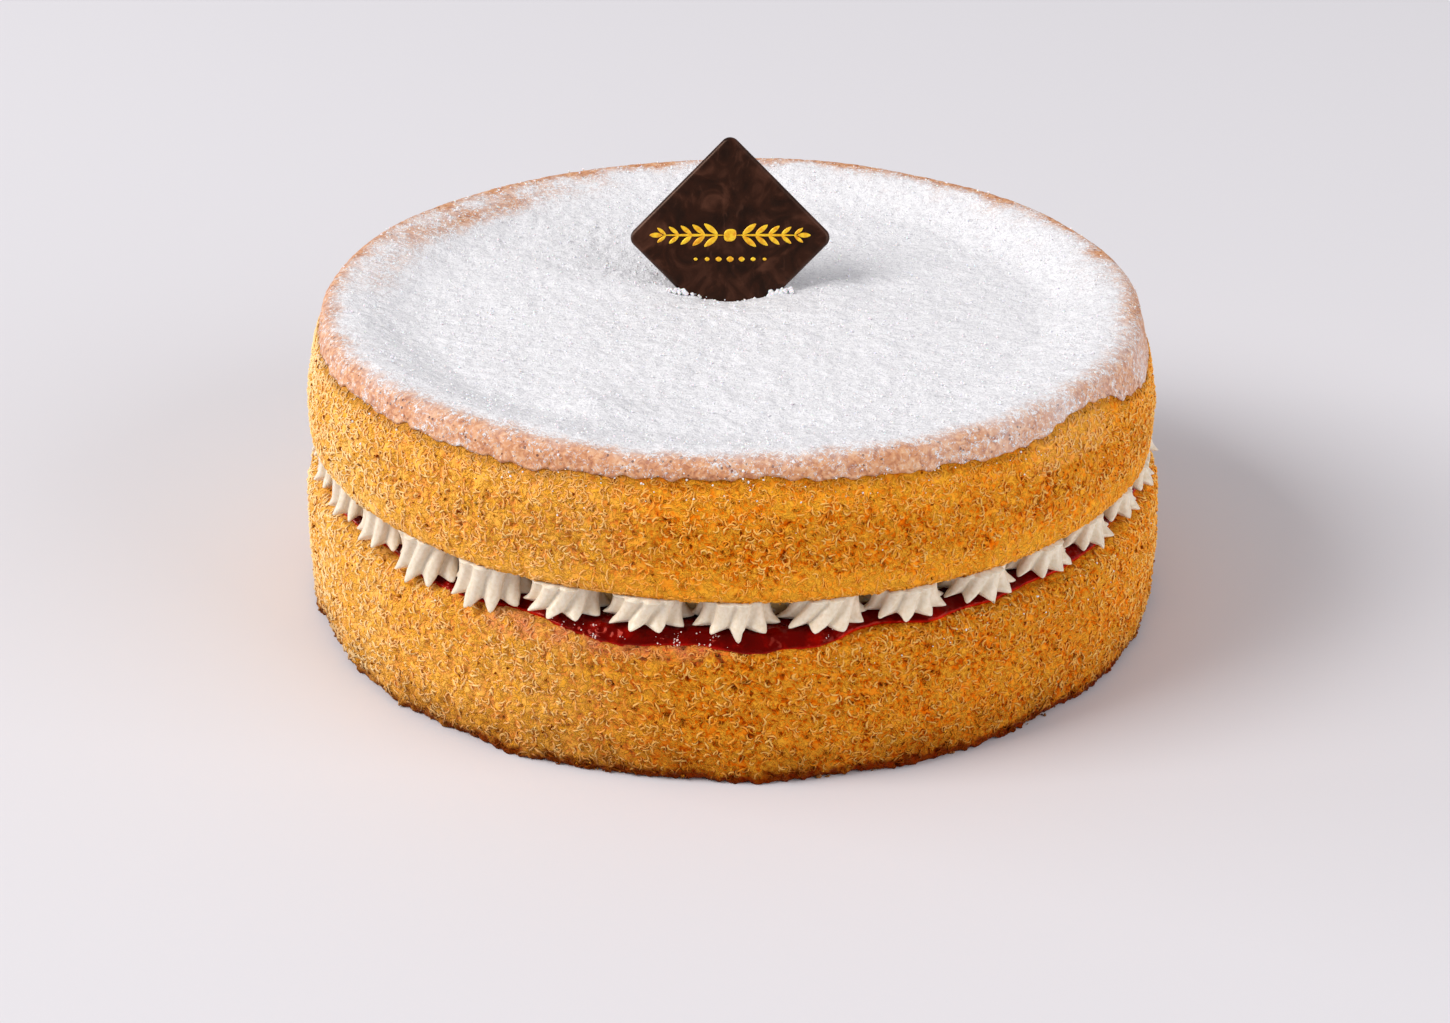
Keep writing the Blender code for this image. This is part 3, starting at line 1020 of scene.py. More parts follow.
@dataclass(frozen=True)
class SpongeWall:
    """A round of open crumb. Each sponge has its own section and marks."""

    form: CakeForm
    finish: SpongeCrumb
    name: str = "sponge"
    node: str = "sponge"
    relief: CrumbRelief = field(default_factory=CrumbRelief)
    shift: float = 0.0
    count: int = 1140
    rings: int = 74
    ends: tuple[float, float] = (0.0, 0.0)
    strand_count: int = 7500
    strand_shares: tuple[float, float] = (0.08, 0.9)
    strand_radius: float = 0.24 * MM
    strand_step: float = 0.56 * MM
    strand_tapers: Sequence[float] = (0.45, 0.9, 1.0, 0.9, 0.45)
    strand_lifts: Sequence[float] = (-0.4, 0.7, 0.9, 0.7, -0.4)
    strand_curl: float = 0.95
    drag_height: float = 0.5 * MM

    def outline(self, angle: Array) -> Loft:
        """The wall's section at each angle."""
        raise NotImplementedError

    def uneven(self, base: Array, share: Array, move: Array) -> Array:
        """The crumb's relief where it is smoother or more ragged than elsewhere."""
        raise NotImplementedError

    def marks(self, base: Array, share: Array) -> dict[str, Array]:
        """How browned, stained and even the crumb is, from 0 to 1."""
        raise NotImplementedError

    def paler_and_lit_left(self, base: Array) -> Array:
        """Paler crumb on the cake's left: partly lighter baking, partly painted light from the key softbox.
        """
        patch = np.clip(0.85 + 0.5 * Noise(15 * MM, 27).lumps(base), 0, 1)
        angle = turn_of(base)
        return np.maximum(0.88 * around(angle, -90, 52), 0.50 * around(angle, -46, 34)) * patch

    def place(self, angle: Array, share: Array) -> tuple[Array, Array, Array, Array]:
        """Where the finished wall lies.

        Args:
            angle: angles from the front, in radians.
            share: 0 at the start of the section and 1 at its end.

        Returns:
            Places, the way that the wall faces there, how high each lies in the crumb, and the places before
            the crumb's relief.
        """
        outline = self.outline(angle)
        radius, height = outline.at(share)
        out, up = outline.normal(share)
        base = placed_round(radius, angle, height)
        facing = placed_round(out, angle, up)
        move, level = self.relief.at(base)
        dragged = around(angle, -42, 28) * Noise(2.4 * MM, 41).ridges(base * (1, 1, 0.24), 0.45)
        # The drag ridges raise the level, so the painted shade colours them lighter.
        move, level = move + self.drag_height * dragged, np.clip(level + 0.3 * dragged, 0, 1)
        placed = base + facing * self.uneven(base, share, move)[:, None]
        placed[:, 0] += self.shift
        placed[:, 2] = np.maximum(placed[:, 2], 0)
        return placed, facing, level, base

    def build(self) -> Piece:
        """Model the sponge and give it its crumb."""
        sponge = ringed_drum(self.name, self.count, self.rings)
        points = points_of(sponge)
        share = points[:, 2].copy()
        middle = np.hypot(points[:, 0], points[:, 1]) < 0.5
        placed, _, level, base = self.place(turn_of(points), share)
        placed[middle] = [(0, 0, self.ends[0] if z < 0.5 else self.ends[1]) for z in share[middle]]
        set_points(sponge, placed)
        set_attribute(sponge, "relief", level)
        for name, values in self.marks(base, share).items():
            set_attribute(sponge, name, values)
        dress(sponge, self.finish.make())
        return keep_piece(sponge, [self.node])

    def strands(self, seed: int) -> Piece:
        """Thin curled strands of crumb that stand out of the wall, joined in one piece.

        Args:
            seed: tells apart one sponge's strands from another's.

        Returns:
            The joined strands.
        """
        chance = np.random.default_rng(seed)
        steps, count = len(self.strand_tapers), self.strand_count
        angle = chance.uniform(-math.pi, math.pi, count)
        share = chance.uniform(*self.strand_shares, count)
        outline = self.outline(angle)
        (r0, z0), (r1, z1) = outline.at(share - 0.01), outline.at(share + 0.01)
        length = np.hypot(r1 - r0, z1 - z0) / 0.02
        heading = chance.uniform(-math.pi, math.pi, count)
        curl = self.strand_curl * chance.choice([-1.0, 1.0], count) * chance.uniform(0.2, 1.2, count)
        stride = self.strand_step * chance.uniform(0.7, 1.25, count)
        angles, shares = [], []
        for step in range(steps):
            angles.append(angle)
            shares.append(np.clip(share, 0.02, 0.99))
            angle = angle + stride * np.cos(heading) / r1
            share = share + stride * np.sin(heading) / length
            heading = heading + curl + chance.normal(0, 0.2, count)
        angle, share = np.stack(angles, axis=1).ravel(), np.stack(shares, axis=1).ravel()
        placed, facing, _, base = self.place(angle, share)
        marks = self.marks(base, share)
        even = np.repeat(marks["even"].reshape(count, steps).mean(axis=1), steps)
        taper = np.tile(self.strand_tapers, count)
        lift = np.tile(self.strand_lifts, count) * self.strand_radius
        width = np.repeat(chance.uniform(0.65, 1.15, count), steps)
        thick = self.strand_radius * taper * width * (1 - 0.25 * even)
        line = (placed + facing * (lift * (1 - 0.5 * even))[:, None]).reshape(count, steps, 3)
        ahead = np.gradient(line, axis=1)
        ahead /= np.linalg.norm(ahead, axis=2)[..., None] + 1e-12
        facing = facing.reshape(count, steps, 3)
        aside = np.cross(ahead, facing)
        aside /= np.linalg.norm(aside, axis=2)[..., None] + 1e-12
        thick = thick.reshape(count, steps, 1)
        corners = [line + aside * thick - facing * 0.4 * thick, line + facing * thick]
        corners.append(line - aside * thick - facing * 0.4 * thick)
        points = np.stack(corners, axis=2)
        points[..., 2] = np.maximum(points[..., 2], 0)
        faces = [(0, 2, 1)]
        for step in range(steps - 1):
            for side in range(3):
                here, after = 3 * step + side, 3 * step + (side + 1) % 3
                faces += [(here, after, after + 3), (here, after + 3, here + 3)]
        last = 3 * (steps - 1)
        faces.append((last, last + 1, last + 2))
        every = (np.array(faces)[None] + 3 * steps * np.arange(count)[:, None, None]).reshape(-1, 3)
        joined = joined_mesh(f"{self.name}_strands", points.reshape(-1, 3), every)
        set_attribute(joined, "relief", np.repeat(chance.random(count), 3 * steps))
        for name, values in marks.items():
            set_attribute(joined, name, np.repeat(values, 3))
        dress(joined, CrumbStrand().make())
        return keep_piece(joined)


@dataclass(frozen=True)
class LowerSponge(SpongeWall):
    """The lower sponge: a round of crumb with a ragged browned foot."""

    edge: float = 4.0 * MM
    bulge: float = 0.4 * MM
    foot_waves: Waves = ((0.5 * MM, 13, 20), (0.4 * MM, 22, 90), (0.3 * MM, 37, 10))
    foot_height: float = 3.0 * MM
    foot_ragged: float = 0.75 * MM

    def outline(self, angle: Array) -> Loft:
        """The wall's section at each angle, from the foot to the flat top."""
        radius = self.form.radius + wave(angle, self.form.lower_waves)
        top = self.form.lower_height
        uneven = wave(angle, self.foot_waves)
        bends = [
            (radius - self.edge * (1 - math.sin(bend)), top - self.edge * (1 - math.cos(bend)))
            for bend in (1.0, 0.5)
        ]
        level = np.zeros_like(angle)
        stations = [
            (radius - 6 * MM, level),
            (radius - 1.6 * MM + uneven, level),
            (radius - 0.4 * MM + 0.6 * uneven, level + 1.6 * MM),
            (radius + 0.5 * self.bulge, level + 9 * MM),
            (radius + self.bulge, level + 19 * MM),
            (radius, level + top - self.edge),
            *bends,
            (radius - self.edge, level + top),
            (radius - 9 * MM, level + top),
        ]
        return Loft.through((0.0, 0.04, 0.09, 0.28, 0.50, 0.72, 0.80, 0.88, 0.93, 1.0), stations)

    @staticmethod
    def ragged(base: Array) -> Array:
        """Coarse and fine lumps, for the foot."""
        return Noise(1.9 * MM, 21).lumps(base) + 0.6 * Noise(0.9 * MM, 22).lumps(base)

    def uneven(self, base: Array, share: Array, move: Array) -> Array:
        """Ragged at the foot, and quiet under the jam."""
        foot = 1 - smooth_step(base[:, 2], 0.8 * MM, self.foot_height)
        move = move * (1 - 0.4 * foot) + self.foot_ragged * self.ragged(base) * foot
        return move * smooth_step(share, 0.0, 0.06) * (1 - smooth_step(share, 0.90, 0.98))

    def marks(self, base: Array, share: Array) -> dict[str, Array]:
        """Browned at the foot, darker low on the wall with painted shade, and stained where the jam has
        soaked in.
        """
        height, angle = base[:, 2], turn_of(base)
        brown_and_shade = 0.8 - 0.8 * smooth_step(height + 1.6 * MM * self.ragged(base), 0.4 * MM, 4.4 * MM)
        # Painted shade: darker over the lowest 15 mm, with dull patches below 12 mm; darker round the front
        # as well.
        brown_and_shade += 0.22 * (1 - smooth_step(height, 3 * MM, 15 * MM)) + 0.17 * around(angle, 14, 44)
        low = 1 - smooth_step(height, 5 * MM, 12 * MM)
        dull = np.clip(Noise(9 * MM, 23).lumps(base) + 0.2, 0, 1) * low
        juice = around(angle, -17, 16) * smooth_step(height, 27.5 * MM, 31.5 * MM)
        return {
            "browned_and_shaded": np.clip(brown_and_shade + 0.3 * dull, 0, 1),
            "stain": 0.55 * juice * np.clip(0.6 + Noise(3 * MM, 24).lumps(base), 0, 1),
            "even": 0.25 * np.clip(Noise(11 * MM, 25).lumps(base), 0, 1),
            "pale_and_lit": self.paler_and_lit_left(base),
        }


@dataclass(frozen=True)
class UpperSponge(SpongeWall):
    """The upper sponge's wall and underside, up to beneath the crust."""

    tuck: float = 0.5 * MM
    under_crust: float = 2.2 * MM

    def outline(self, angle: Array) -> Loft:
        """The section at each angle, from the underside round the edge and up the wall."""
        form, edge = self.form, self.form.underside_edge
        wall = form.upper_radius + wave(angle, form.upper_waves)

        def low(radius: Array) -> Array:
            """The underside's height at a radius."""
            return form.underside(radius * np.sin(angle) + form.upper_shift, -radius * np.cos(angle))

        last_radius, last_height = form.over_rim(angle, form.crust_drop(angle) - self.under_crust)
        start = low(wall)
        stations = [(wall - 18 * MM, low(wall - 18 * MM)), (wall - 8 * MM, low(wall - 8 * MM))]
        for bend in (0.4, 0.8, 1.2):
            stations.append((wall - edge * (1 - math.sin(bend)), start + edge * (1 - math.cos(bend))))
        for part in (0.12, 0.4, 0.7):
            height = start + edge + part * (last_height - start - edge)
            stations.append((form.wall_radius(angle, height), height))
        for above, tuck in ((-1.2 * MM, 0.25), (0.4 * MM, 0.8), (self.under_crust, 1.6)):
            radius, height = form.over_rim(angle, form.crust_drop(angle) - above)
            stations.append((radius - tuck * self.tuck, height - 0.5 * tuck * self.tuck))
        stations.append((last_radius - 7 * MM, last_height - 6 * MM))
        return Loft.through((0, 0.10, 0.17, 0.21, 0.25, 0.32, 0.50, 0.71, 0.88, 0.93, 0.97, 1), stations)

    def uneven(self, base: Array, share: Array, move: Array) -> Array:
        """Smooth round the lower edge, under the sponge and beneath the crust."""
        ends = smooth_step(share, 0.0, 0.08) * (1 - smooth_step(share, 0.88, 0.93))
        return move * (1 - 0.6 * self.marks(base, share)["even"]) * ends

    def marks(self, base: Array, share: Array) -> dict[str, Array]:
        """Smooth and pale round the lower edge, in a band below the crust, and in a few patches."""
        angle = turn_of(base)
        patch = Noise(12 * MM, 26).lumps(base)
        rounded = smooth_step(share, 0.12, 0.2)
        rounded = rounded * (1 - smooth_step(share, 0.25 + 0.05 * patch, 0.37 + 0.08 * patch))
        band = smooth_step(share, 0.58 + 0.12 * patch, 0.80) * (0.35 + 0.25 * around(angle, 10, 60))
        toasted = smooth_step(share, 0.30, 0.42) * (1 - smooth_step(share, 0.55, 0.72))
        toasted = toasted * around(angle, 18, 60)
        # Painted shadow in the groove just under the crust's overhang.
        groove = smooth_step(share, 0.82, 0.9)
        bare = 0.35 * around(angle, 50, 9) * (base[:, 2] > 58 * MM)
        return {
            "browned_and_shaded": np.clip(0.10 * toasted * (1 + patch) + 0.35 * groove, 0, 1),
            "stain": np.zeros(len(base)),
            "even": np.clip(np.maximum(0.95 * rounded, band) + 0.2 * np.clip(patch, 0, 1), 0, 1),
            "pale_and_lit": np.clip(self.paler_and_lit_left(base) + bare, 0, 1),
        }


@dataclass(frozen=True)
class SugaredTop:
    """The baked top: thin crust over the rim, sunk in the middle, with icing sugar sifted over it."""

    form: CakeForm
    finish: SugaredCrust
    cells: int = 308
    thickness: float = 0.55 * MM
    lip: float = 0.12 * MM
    core_height: float = 54 * MM
    sugar_edge: float = 89.5 * MM
    jag: float = 0.30 * MM
    jag_waves: Waves = ((0.20 * MM, 97, 0), (0.16 * MM, 143, 50))
    lumps: Sequence[tuple[float, float, int]] = ((0.50 * MM, 10 * MM, 61), (0.34 * MM, 3.6 * MM, 62))
    grain: Sequence[tuple[float, float, int]] = ((0.30 * MM, 1.9 * MM, 63),)
    wrinkles: Sequence[tuple[float, float, int]] = ((0.15 * MM, 3.2 * MM, 64), (0.13 * MM, 1.4 * MM, 65))
    hole_depth: float = 0.45 * MM

    def disc(self) -> Piece:
        """A flat round of even square cells, radius 1."""
        deselect_all()
        bpy.ops.mesh.primitive_grid_add(x_subdivisions=self.cells, y_subdivisions=self.cells, size=2)
        top = bpy.context.object
        top.name = top.data.name = "sugared_crust_top"
        points = points_of(top)
        x, y = points[:, 0], points[:, 1]
        reach = np.maximum(np.abs(x), np.abs(y))
        flat = np.abs(x) >= np.abs(y)
        with np.errstate(divide="ignore", invalid="ignore"):
            part = np.nan_to_num(np.where(flat, y / x, x / y))
        angle = math.pi / 4 * part
        sign = np.where(flat, np.sign(x), np.sign(y))
        across = np.where(flat, np.cos(angle), np.sin(angle)) * sign * reach
        along = np.where(flat, np.sin(angle), np.cos(angle)) * sign * reach
        set_points(top, np.stack([across, along, 0 * x], axis=1))
        return top

    def surface(self, angle: Array, way: Array) -> Array:
        """Places on the smooth top, by the way gone from its middle over the rim."""
        form = self.form
        inside = way < form.rim_radius
        radius, height = form.over_rim(angle, np.maximum(way - form.rim_radius, 0))
        radius = np.where(inside, way, radius)
        x, y = radius * np.sin(angle) + form.upper_shift, -radius * np.cos(angle)
        height = np.where(inside, form.top(x, y), height)
        return np.stack([x, y, height], axis=1)

    def cover(self, angle: Array, way: Array, base: Array) -> Array:
        """How thick the sugar lies: full in the hollow, thin on the rim, worn at the back and right."""
        uneven = 1.2 * MM * Noise(9 * MM, 51).lumps(base) + 1.2 * MM * Noise(4 * MM, 52).lumps(base)
        edge = self.sugar_edge + uneven
        past = smooth_step(way, edge - 5.0 * MM, edge + 6.0 * MM)
        thin = smooth_step(way, 70 * MM, 90 * MM) * (0.20 + 0.42 * around(angle, 168, 90))
        patches = np.clip(Noise(12 * MM, 53).lumps(base) + 0.3, 0, 1)
        slope = np.exp(-(((way - 82 * MM) / (6 * MM)) ** 2)) * around(angle, -122, 38)
        right = 0.22 * around(angle, 75, 50)
        return 1.15 - (0.86 - right) * past - thin * (0.4 + 0.9 * patches) - 0.42 * slope

    def build(self) -> Piece:
        """Model the top, close it below, and sift the sugar."""
        form = self.form
        top = self.disc()
        points = points_of(top)
        share = np.hypot(points[:, 0], points[:, 1])
        angle = turn_of(points)
        jagged = self.jag * np.sin(61 * angle) * np.sin(17 * angle) + wave(angle, self.jag_waves)
        way = share * (form.rim_radius + form.crust_drop(angle) + jagged)
        base = self.surface(angle, way)
        step = self.surface(angle, way + 0.2 * MM) - base
        side = self.surface(angle + 0.002, way) - base
        facing = np.cross(side, step)
        tiny = share < 1e-6
        facing[tiny] = (0, 0, 1)
        facing /= np.linalg.norm(facing, axis=1)[:, None] + 1e-12
        facing *= np.sign(facing[:, 2] + 1e-3)[:, None]
        cover = self.cover(angle, way, base)
        soft, grain, wrinkle = (
            sum(size * Noise(cell, seed).lumps(base) for size, cell, seed in kind)
            for kind in (self.lumps, self.grain, self.wrinkles)
        )
        holes = self.hole_depth * Noise(2.4 * MM, 66).holes(base, 0.28)
        sugar = smooth_step(cover, 0.2, 0.8)
        move = self.lip + sugar * (soft + grain) + (1 - sugar) * (wrinkle - holes)
        at_edge = smooth_step(share, 0.975, 1.0)
        placed = base + facing * (move - 0.35 * self.lip * at_edge)[:, None]
        set_points(top, placed)
        self.close(top)
        padding = len(top.data.vertices) - len(cover)
        set_attribute(top, "sugar", np.concatenate([cover, np.zeros(padding)]))
        dress(top, self.finish.make())
        return keep_piece(top)

    def close(self, top: Piece) -> None:
        """Turn the crust's edge in and close it with a cone down into the sponge.

        Args:
            top: the open top, already shaped.
        """
        deselect_all()
        bpy.context.view_layer.objects.active = top
        top.select_set(True)
        bpy.ops.object.mode_set(mode="EDIT")
        bpy.ops.mesh.select_mode(type="EDGE")
        bpy.ops.mesh.select_all(action="DESELECT")
        bpy.ops.mesh.select_non_manifold()
        inward = 1 - self.thickness / self.form.upper_radius
        bpy.ops.mesh.extrude_edges_move(TRANSFORM_OT_translate={"value": (0, 0, 0.1 * self.thickness)})
        bpy.ops.transform.resize(value=(inward, inward, 1), center_override=(self.form.upper_shift, 0, 0))
        bpy.ops.mesh.extrude_edges_move(TRANSFORM_OT_translate={"value": (0, 0, -7 * self.thickness)})
        bpy.ops.transform.resize(value=(0.94, 0.94, 1), center_override=(self.form.upper_shift, 0, 0))
        bpy.ops.mesh.edge_face_add()
        bpy.ops.mesh.select_mode(type="FACE")
        bpy.ops.mesh.poke()
        shape = bmesh.from_edit_mesh(top.data)
        for vertex in shape.verts:
            if vertex.select and vertex.co.xy.length < 10 * MM:
                vertex.co = Vector((self.form.upper_shift, 0, self.core_height))
        bpy.ops.mesh.select_all(action="SELECT")
        bpy.ops.mesh.normals_make_consistent(inside=False)
        bpy.ops.object.mode_set(mode="OBJECT")


# ----------------------------------------------------------------------------------------------------------
# The filling


@dataclass(frozen=True)
class JamLayer:
    """The jam: a wet sheet that swells out and sags over the lower sponge's edge."""

    form: CakeForm
    finish: RedJam
    count: int = 1080
    rings: int = 34
    reach: float = 95.6 * MM
    furthest: float = 4.6 * MM
    section: Sequence[tuple[float, float]] = (
        (-5 * MM, -0.4 * MM),
        (-0.6 * MM, -0.1 * MM),
        (0.1 * MM, 0.35 * MM),
        (-0.1 * MM, 1.0 * MM),
        (-1.2 * MM, 1.55 * MM),
    )
    sags: Sequence[tuple[float, float, float]] = (
        (3.9 * MM, -15, 8.0),
        (3.0 * MM, 2, 7.0),
        (1.6 * MM, -6.5, 4.0),
        (1.6 * MM, 11, 4.0),
        (1.9 * MM, 25, 4.0),
    )
    waves: Waves = ((0.7 * MM, 9, 30), (0.6 * MM, 15, 100), (0.3 * MM, 31, 0))
    edge: float = 4.0 * MM

    def run(self, angle: Array) -> Array:
        """How far the jam runs past the flat of the sponge, along its rounded edge."""
        out = self.reach - (self.form.radius - self.edge) + wave(angle, self.waves)
        for size, middle, width in self.sags:
            away = (np.degrees(angle) - middle + 180) % 360 - 180
            out = out + size * np.exp(-((away / width) ** 2))
        return np.clip(out, -3 * MM, self.furthest)

    def on_edge(self, angle: Array, run: Array, lift: float) -> tuple[Array, Array]:
        """A place just over the sponge's rounded edge: its radius and height."""
        wall = self.form.radius + wave(angle, self.form.lower_waves)
        bend = np.clip(run / self.edge, 0, 1.4)
        flat = np.minimum(run, 0)
        radius = wall - self.edge + flat + (self.edge + lift) * np.sin(bend)
        height = self.form.lower_height - self.edge + (self.edge + lift) * np.cos(bend)
        return radius, height

    def build(self) -> Piece:
        """Model the jam."""
        jam = ringed_drum("red_jam_sheet", self.count, self.rings)
        points = points_of(jam)
        share = points[:, 2].copy()
        middle = np.hypot(points[:, 0], points[:, 1]) < 0.5
        angle = turn_of(points)
        run = self.run(angle)
        thick = 1.35 * MM + 0.35 * MM * np.sin(7 * angle) + 0.25 * MM * np.sin(13 * angle + 1)
        stations = [self.on_edge(angle, run + past, lift) for past, lift in self.section]
        stations.append((stations[-1][0] - 2.4 * MM, self.form.jam_top + 0.2 * thick))
        stations.append((stations[-1][0] - 8 * MM, angle * 0 + self.form.jam_top))
        outline = Loft.through((0, 0.16, 0.26, 0.40, 0.58, 0.78, 1), stations)
        radius, height = outline.at(share)
        out, up = outline.normal(share)
        base = placed_round(radius, angle, height)
        lumps = 0.38 * MM * Noise(3.6 * MM, 71).lumps(base) + 0.22 * MM * Noise(1.7 * MM, 72).lumps(base)
        seeds = 0.40 * MM * Noise(1.7 * MM, 73).holes(base, 0.36)
        move = (lumps + seeds) * smooth_step(share, 0.14, 0.3)
        radius, height = radius + move * out, height + move * up
        placed = placed_round(radius, angle, height)
        below, above = self.form.lower_height - 0.4 * MM, self.form.jam_top
        placed[middle] = [(0, 0, below if z < 0.5 else above) for z in share[middle]]
        set_points(jam, placed)
        thin = (1 - smooth_step(share, 0.26, 0.42)) * smooth_step(share, 0.16, 0.24)
        set_attribute(jam, "thin", 0.5 * thin + 0.25 * np.clip(Noise(5 * MM, 74).lumps(base), 0, 1))
        dress(jam, self.finish.make())
        return keep_piece(jam, ["jam"])


@dataclass(frozen=True)
class CreamBed:
    """The round of cream behind the piped stars."""

    form: CakeForm
    finish: WhippedCream
    radius: float = 89.0 * MM
    swell: float = 0.6 * MM
    waves: Waves = ((0.4 * MM, 9, 0), (0.3 * MM, 16, 50))
    count: int = 360
    rings: int = 12

    def build(self) -> Piece:
        """Model the bed between the jam and the upper sponge."""
        bed = ringed_drum("whipped_cream_bed", self.count, self.rings)
        points = points_of(bed)
        share = points[:, 2].copy()
        angle = turn_of(points)
        radius = self.radius + self.swell * np.sin(math.pi * share) + wave(angle, self.waves)
        radius[np.hypot(points[:, 0], points[:, 1]) < 0.5] = 0
        x, y = radius * np.sin(angle), -radius * np.cos(angle)
        low = self.form.jam_top - 0.3 * MM
        height = low + share * (self.form.underside(x, y) + 0.2 * MM - low)
        set_points(bed, np.stack([x, y, height], axis=1))
        dress(bed, self.finish.make())
        return keep_piece(bed, ["cream_bed"])


@dataclass(frozen=True)
class StarShape:
    """One piped star's own lean, twist and size."""

    turn: float
    ring: float
    reach: float
    twist: float
    phase: float
    droop: float
    sag: float
    long_tip: float
    tip_turn: float
    lean: tuple[float, float]
    seed: int


@dataclass(frozen=True)
class PipedStars:
    """The ring of stars piped with a ridged nozzle and squashed by the upper sponge."""

    form: CakeForm
    finish: WhippedCream
    ridges: int = 10
    steps: int = 12
    rings: int = 36
    fullness: float = 0.505
    outward: float = 0.88
    groove: float = 0.25
    lift: float = 0.9 * MM
    heavy_side: tuple[float, float] = (-50, -28)  # degrees between which the stars are full and sag
    softness: float = 0.55
    skirt: float = 0.14  # the widest place, as a share of the star's height
    shares: Sequence[float] = (0.0, 0.08, 0.15, 0.22, 0.38, 0.60, 0.82, 1.0)
    widths: Sequence[float] = (0.55, 0.88, 1.00, 0.985, 0.90, 0.84, 0.83, 0.87)
    rises: Sequence[float] = (-0.12, -0.06, 0.0, 0.07, 0.25, 0.54, 0.84, 1.05)
    grooved: Sequence[tuple[float, float]] = (
        (0, 0.3),
        (0.08, 0.9),
        (0.15, 1.15),
        (0.38, 0.85),
        (0.7, 0.62),
        (1, 0.5),
    )

    def shapes(self) -> list[StarShape]:
        """Read where each star stands and draw how it differs from the others."""
        names = sorted(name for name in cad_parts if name.startswith("cream_star_"))
        middles = []
        for name in names:
            low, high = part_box(name)
            middles.append(((low + high) / 2).xy)
        chance = np.random.default_rng(5)
        shapes = []
        for index, middle in enumerate(middles):
            before, after = middles[index - 1], middles[(index + 1) % len(middles)]
            near = min((before - middle).length, (after - middle).length)
            turn = math.atan2(middle.x, -middle.y)
            heavy = 1.0 if self.heavy_side[0] < math.degrees(turn) < self.heavy_side[1] else 0.0
            shapes.append(
                StarShape(
                    turn=turn,
                    ring=middle.length,
                    reach=self.fullness * near * (1 + 0.018 * chance.normal() + 0.08 * heavy),
                    twist=math.radians(26 + 7 * chance.normal()),
                    phase=chance.uniform(0, 2 * math.pi),
                    droop=(0.2 + 0.4 * chance.random()) * MM,
                    sag=2.3 * MM * heavy,
                    long_tip=(1.6 * chance.random() ** 3 + 1.4 * (abs(turn) < 0.09)) * MM,
                    tip_turn=chance.normal() * 0.4,
                    lean=(0.7 * MM * chance.normal(), 0.5 * MM * chance.normal()),
                    seed=100 + index,
                )
            )
        return shapes

    def shape_star(self, star: Piece, shape: StarShape, drum: Array) -> None:
        """Turn a drum into one star.

        Args:
            star: the piece, still a drum.
            shape: how this star differs.
            drum: the drum's vertices.
        """
        share = drum[:, 2]
        middle = np.hypot(drum[:, 0], drum[:, 1]) < 0.5
        around_star = np.arctan2(drum[:, 1], drum[:, 0])
        ripple = np.sin(self.ridges * around_star / 2)
        valley = np.hypot(ripple, self.softness) - self.softness
        valley /= math.hypot(1, self.softness) - self.softness
        rounded = np.abs(ripple) ** 4.5
        pointed = np.exp(-(((share - 0.13) / 0.10) ** 2))
        valley = valley * pointed + rounded * (1 - pointed)
        crest = 1 - valley
        radii, heights = ([np.full_like(share, v) for v in values] for values in (self.widths, self.rises))
        wide, rise = Loft(self.shares, radii, heights).at(share)
        depth = self.groove * np.interp(share, *zip(*self.grooved))
        at_skirt = np.exp(-(((share - self.skirt) / 0.10) ** 2))
        radius = shape.reach * wide * (1 - depth * valley) * (1 + 0.07 * at_skirt * crest**1.5)
        angle = around_star + shape.phase - shape.twist * (rise - 0.5)
        across, outer = radius * np.cos(angle), radius * np.sin(angle)
        outer = np.where(outer > 0, outer * self.outward, outer)
        soft = np.stack([across, outer, rise * 7 * MM], axis=1)
        uneven = Noise(4.5 * MM, shape.seed).lumps(soft)
        outer = outer + 0.30 * MM * uneven * smooth_step(radius, 0, 3 * MM)
        across = across + 0.30 * MM * Noise(5 * MM, shape.seed + 50).lumps(soft)
        across += shape.lean[0] * rise
        outer += shape.lean[1] * rise
        across[middle] = 0
        outer[middle] = 0
        sin, cos = math.sin(shape.turn), math.cos(shape.turn)
        x = (shape.ring + outer) * sin + across * cos
        y = -(shape.ring + outer) * cos + across * sin
        base = self.form.star_base + self.lift
        height = base + rise * (self.form.underside(x, y) + 0.1 * MM - base)
        past = outer / shape.reach
        height += at_skirt * (0.9 * MM * valley - shape.droop * crest) * np.clip(0.3 + past, 0, 1)
        height -= shape.sag * np.exp(-(((share - self.skirt) / 0.20) ** 2)) * np.clip(past, 0, 1)
        long_tip = np.cos(angle - math.pi / 2 - shape.tip_turn) > math.cos(0.62 * math.pi / self.ridges)
        height -= shape.long_tip * at_skirt * crest**1.3 * long_tip
        set_points(star, np.stack([x, y, height], axis=1))

    def build(self) -> list[Piece]:
        """Model one drum, copy it for each star, then shape the copies."""
        shapes = self.shapes()
        stars = [ringed_drum("piped_star_01", self.ridges * self.steps, self.rings)]
        drum = points_of(stars[0])
        deselect_all()
        for number in range(2, len(shapes) + 1):
            star = stars[0].copy()
            star.data = stars[0].data.copy()
            star.name = star.data.name = f"piped_star_{number:02d}"
            bpy.context.scene.collection.objects.link(star)
            stars.append(star)
        material = self.finish.make()
        for number, (star, shape) in enumerate(zip(stars, shapes), 1):
            self.shape_star(star, shape, drum)
            dress(star, material)
            keep_piece(star, [f"cream_star_{number:02d}"])
        return stars


# ----------------------------------------------------------------------------------------------------------
# The plaque


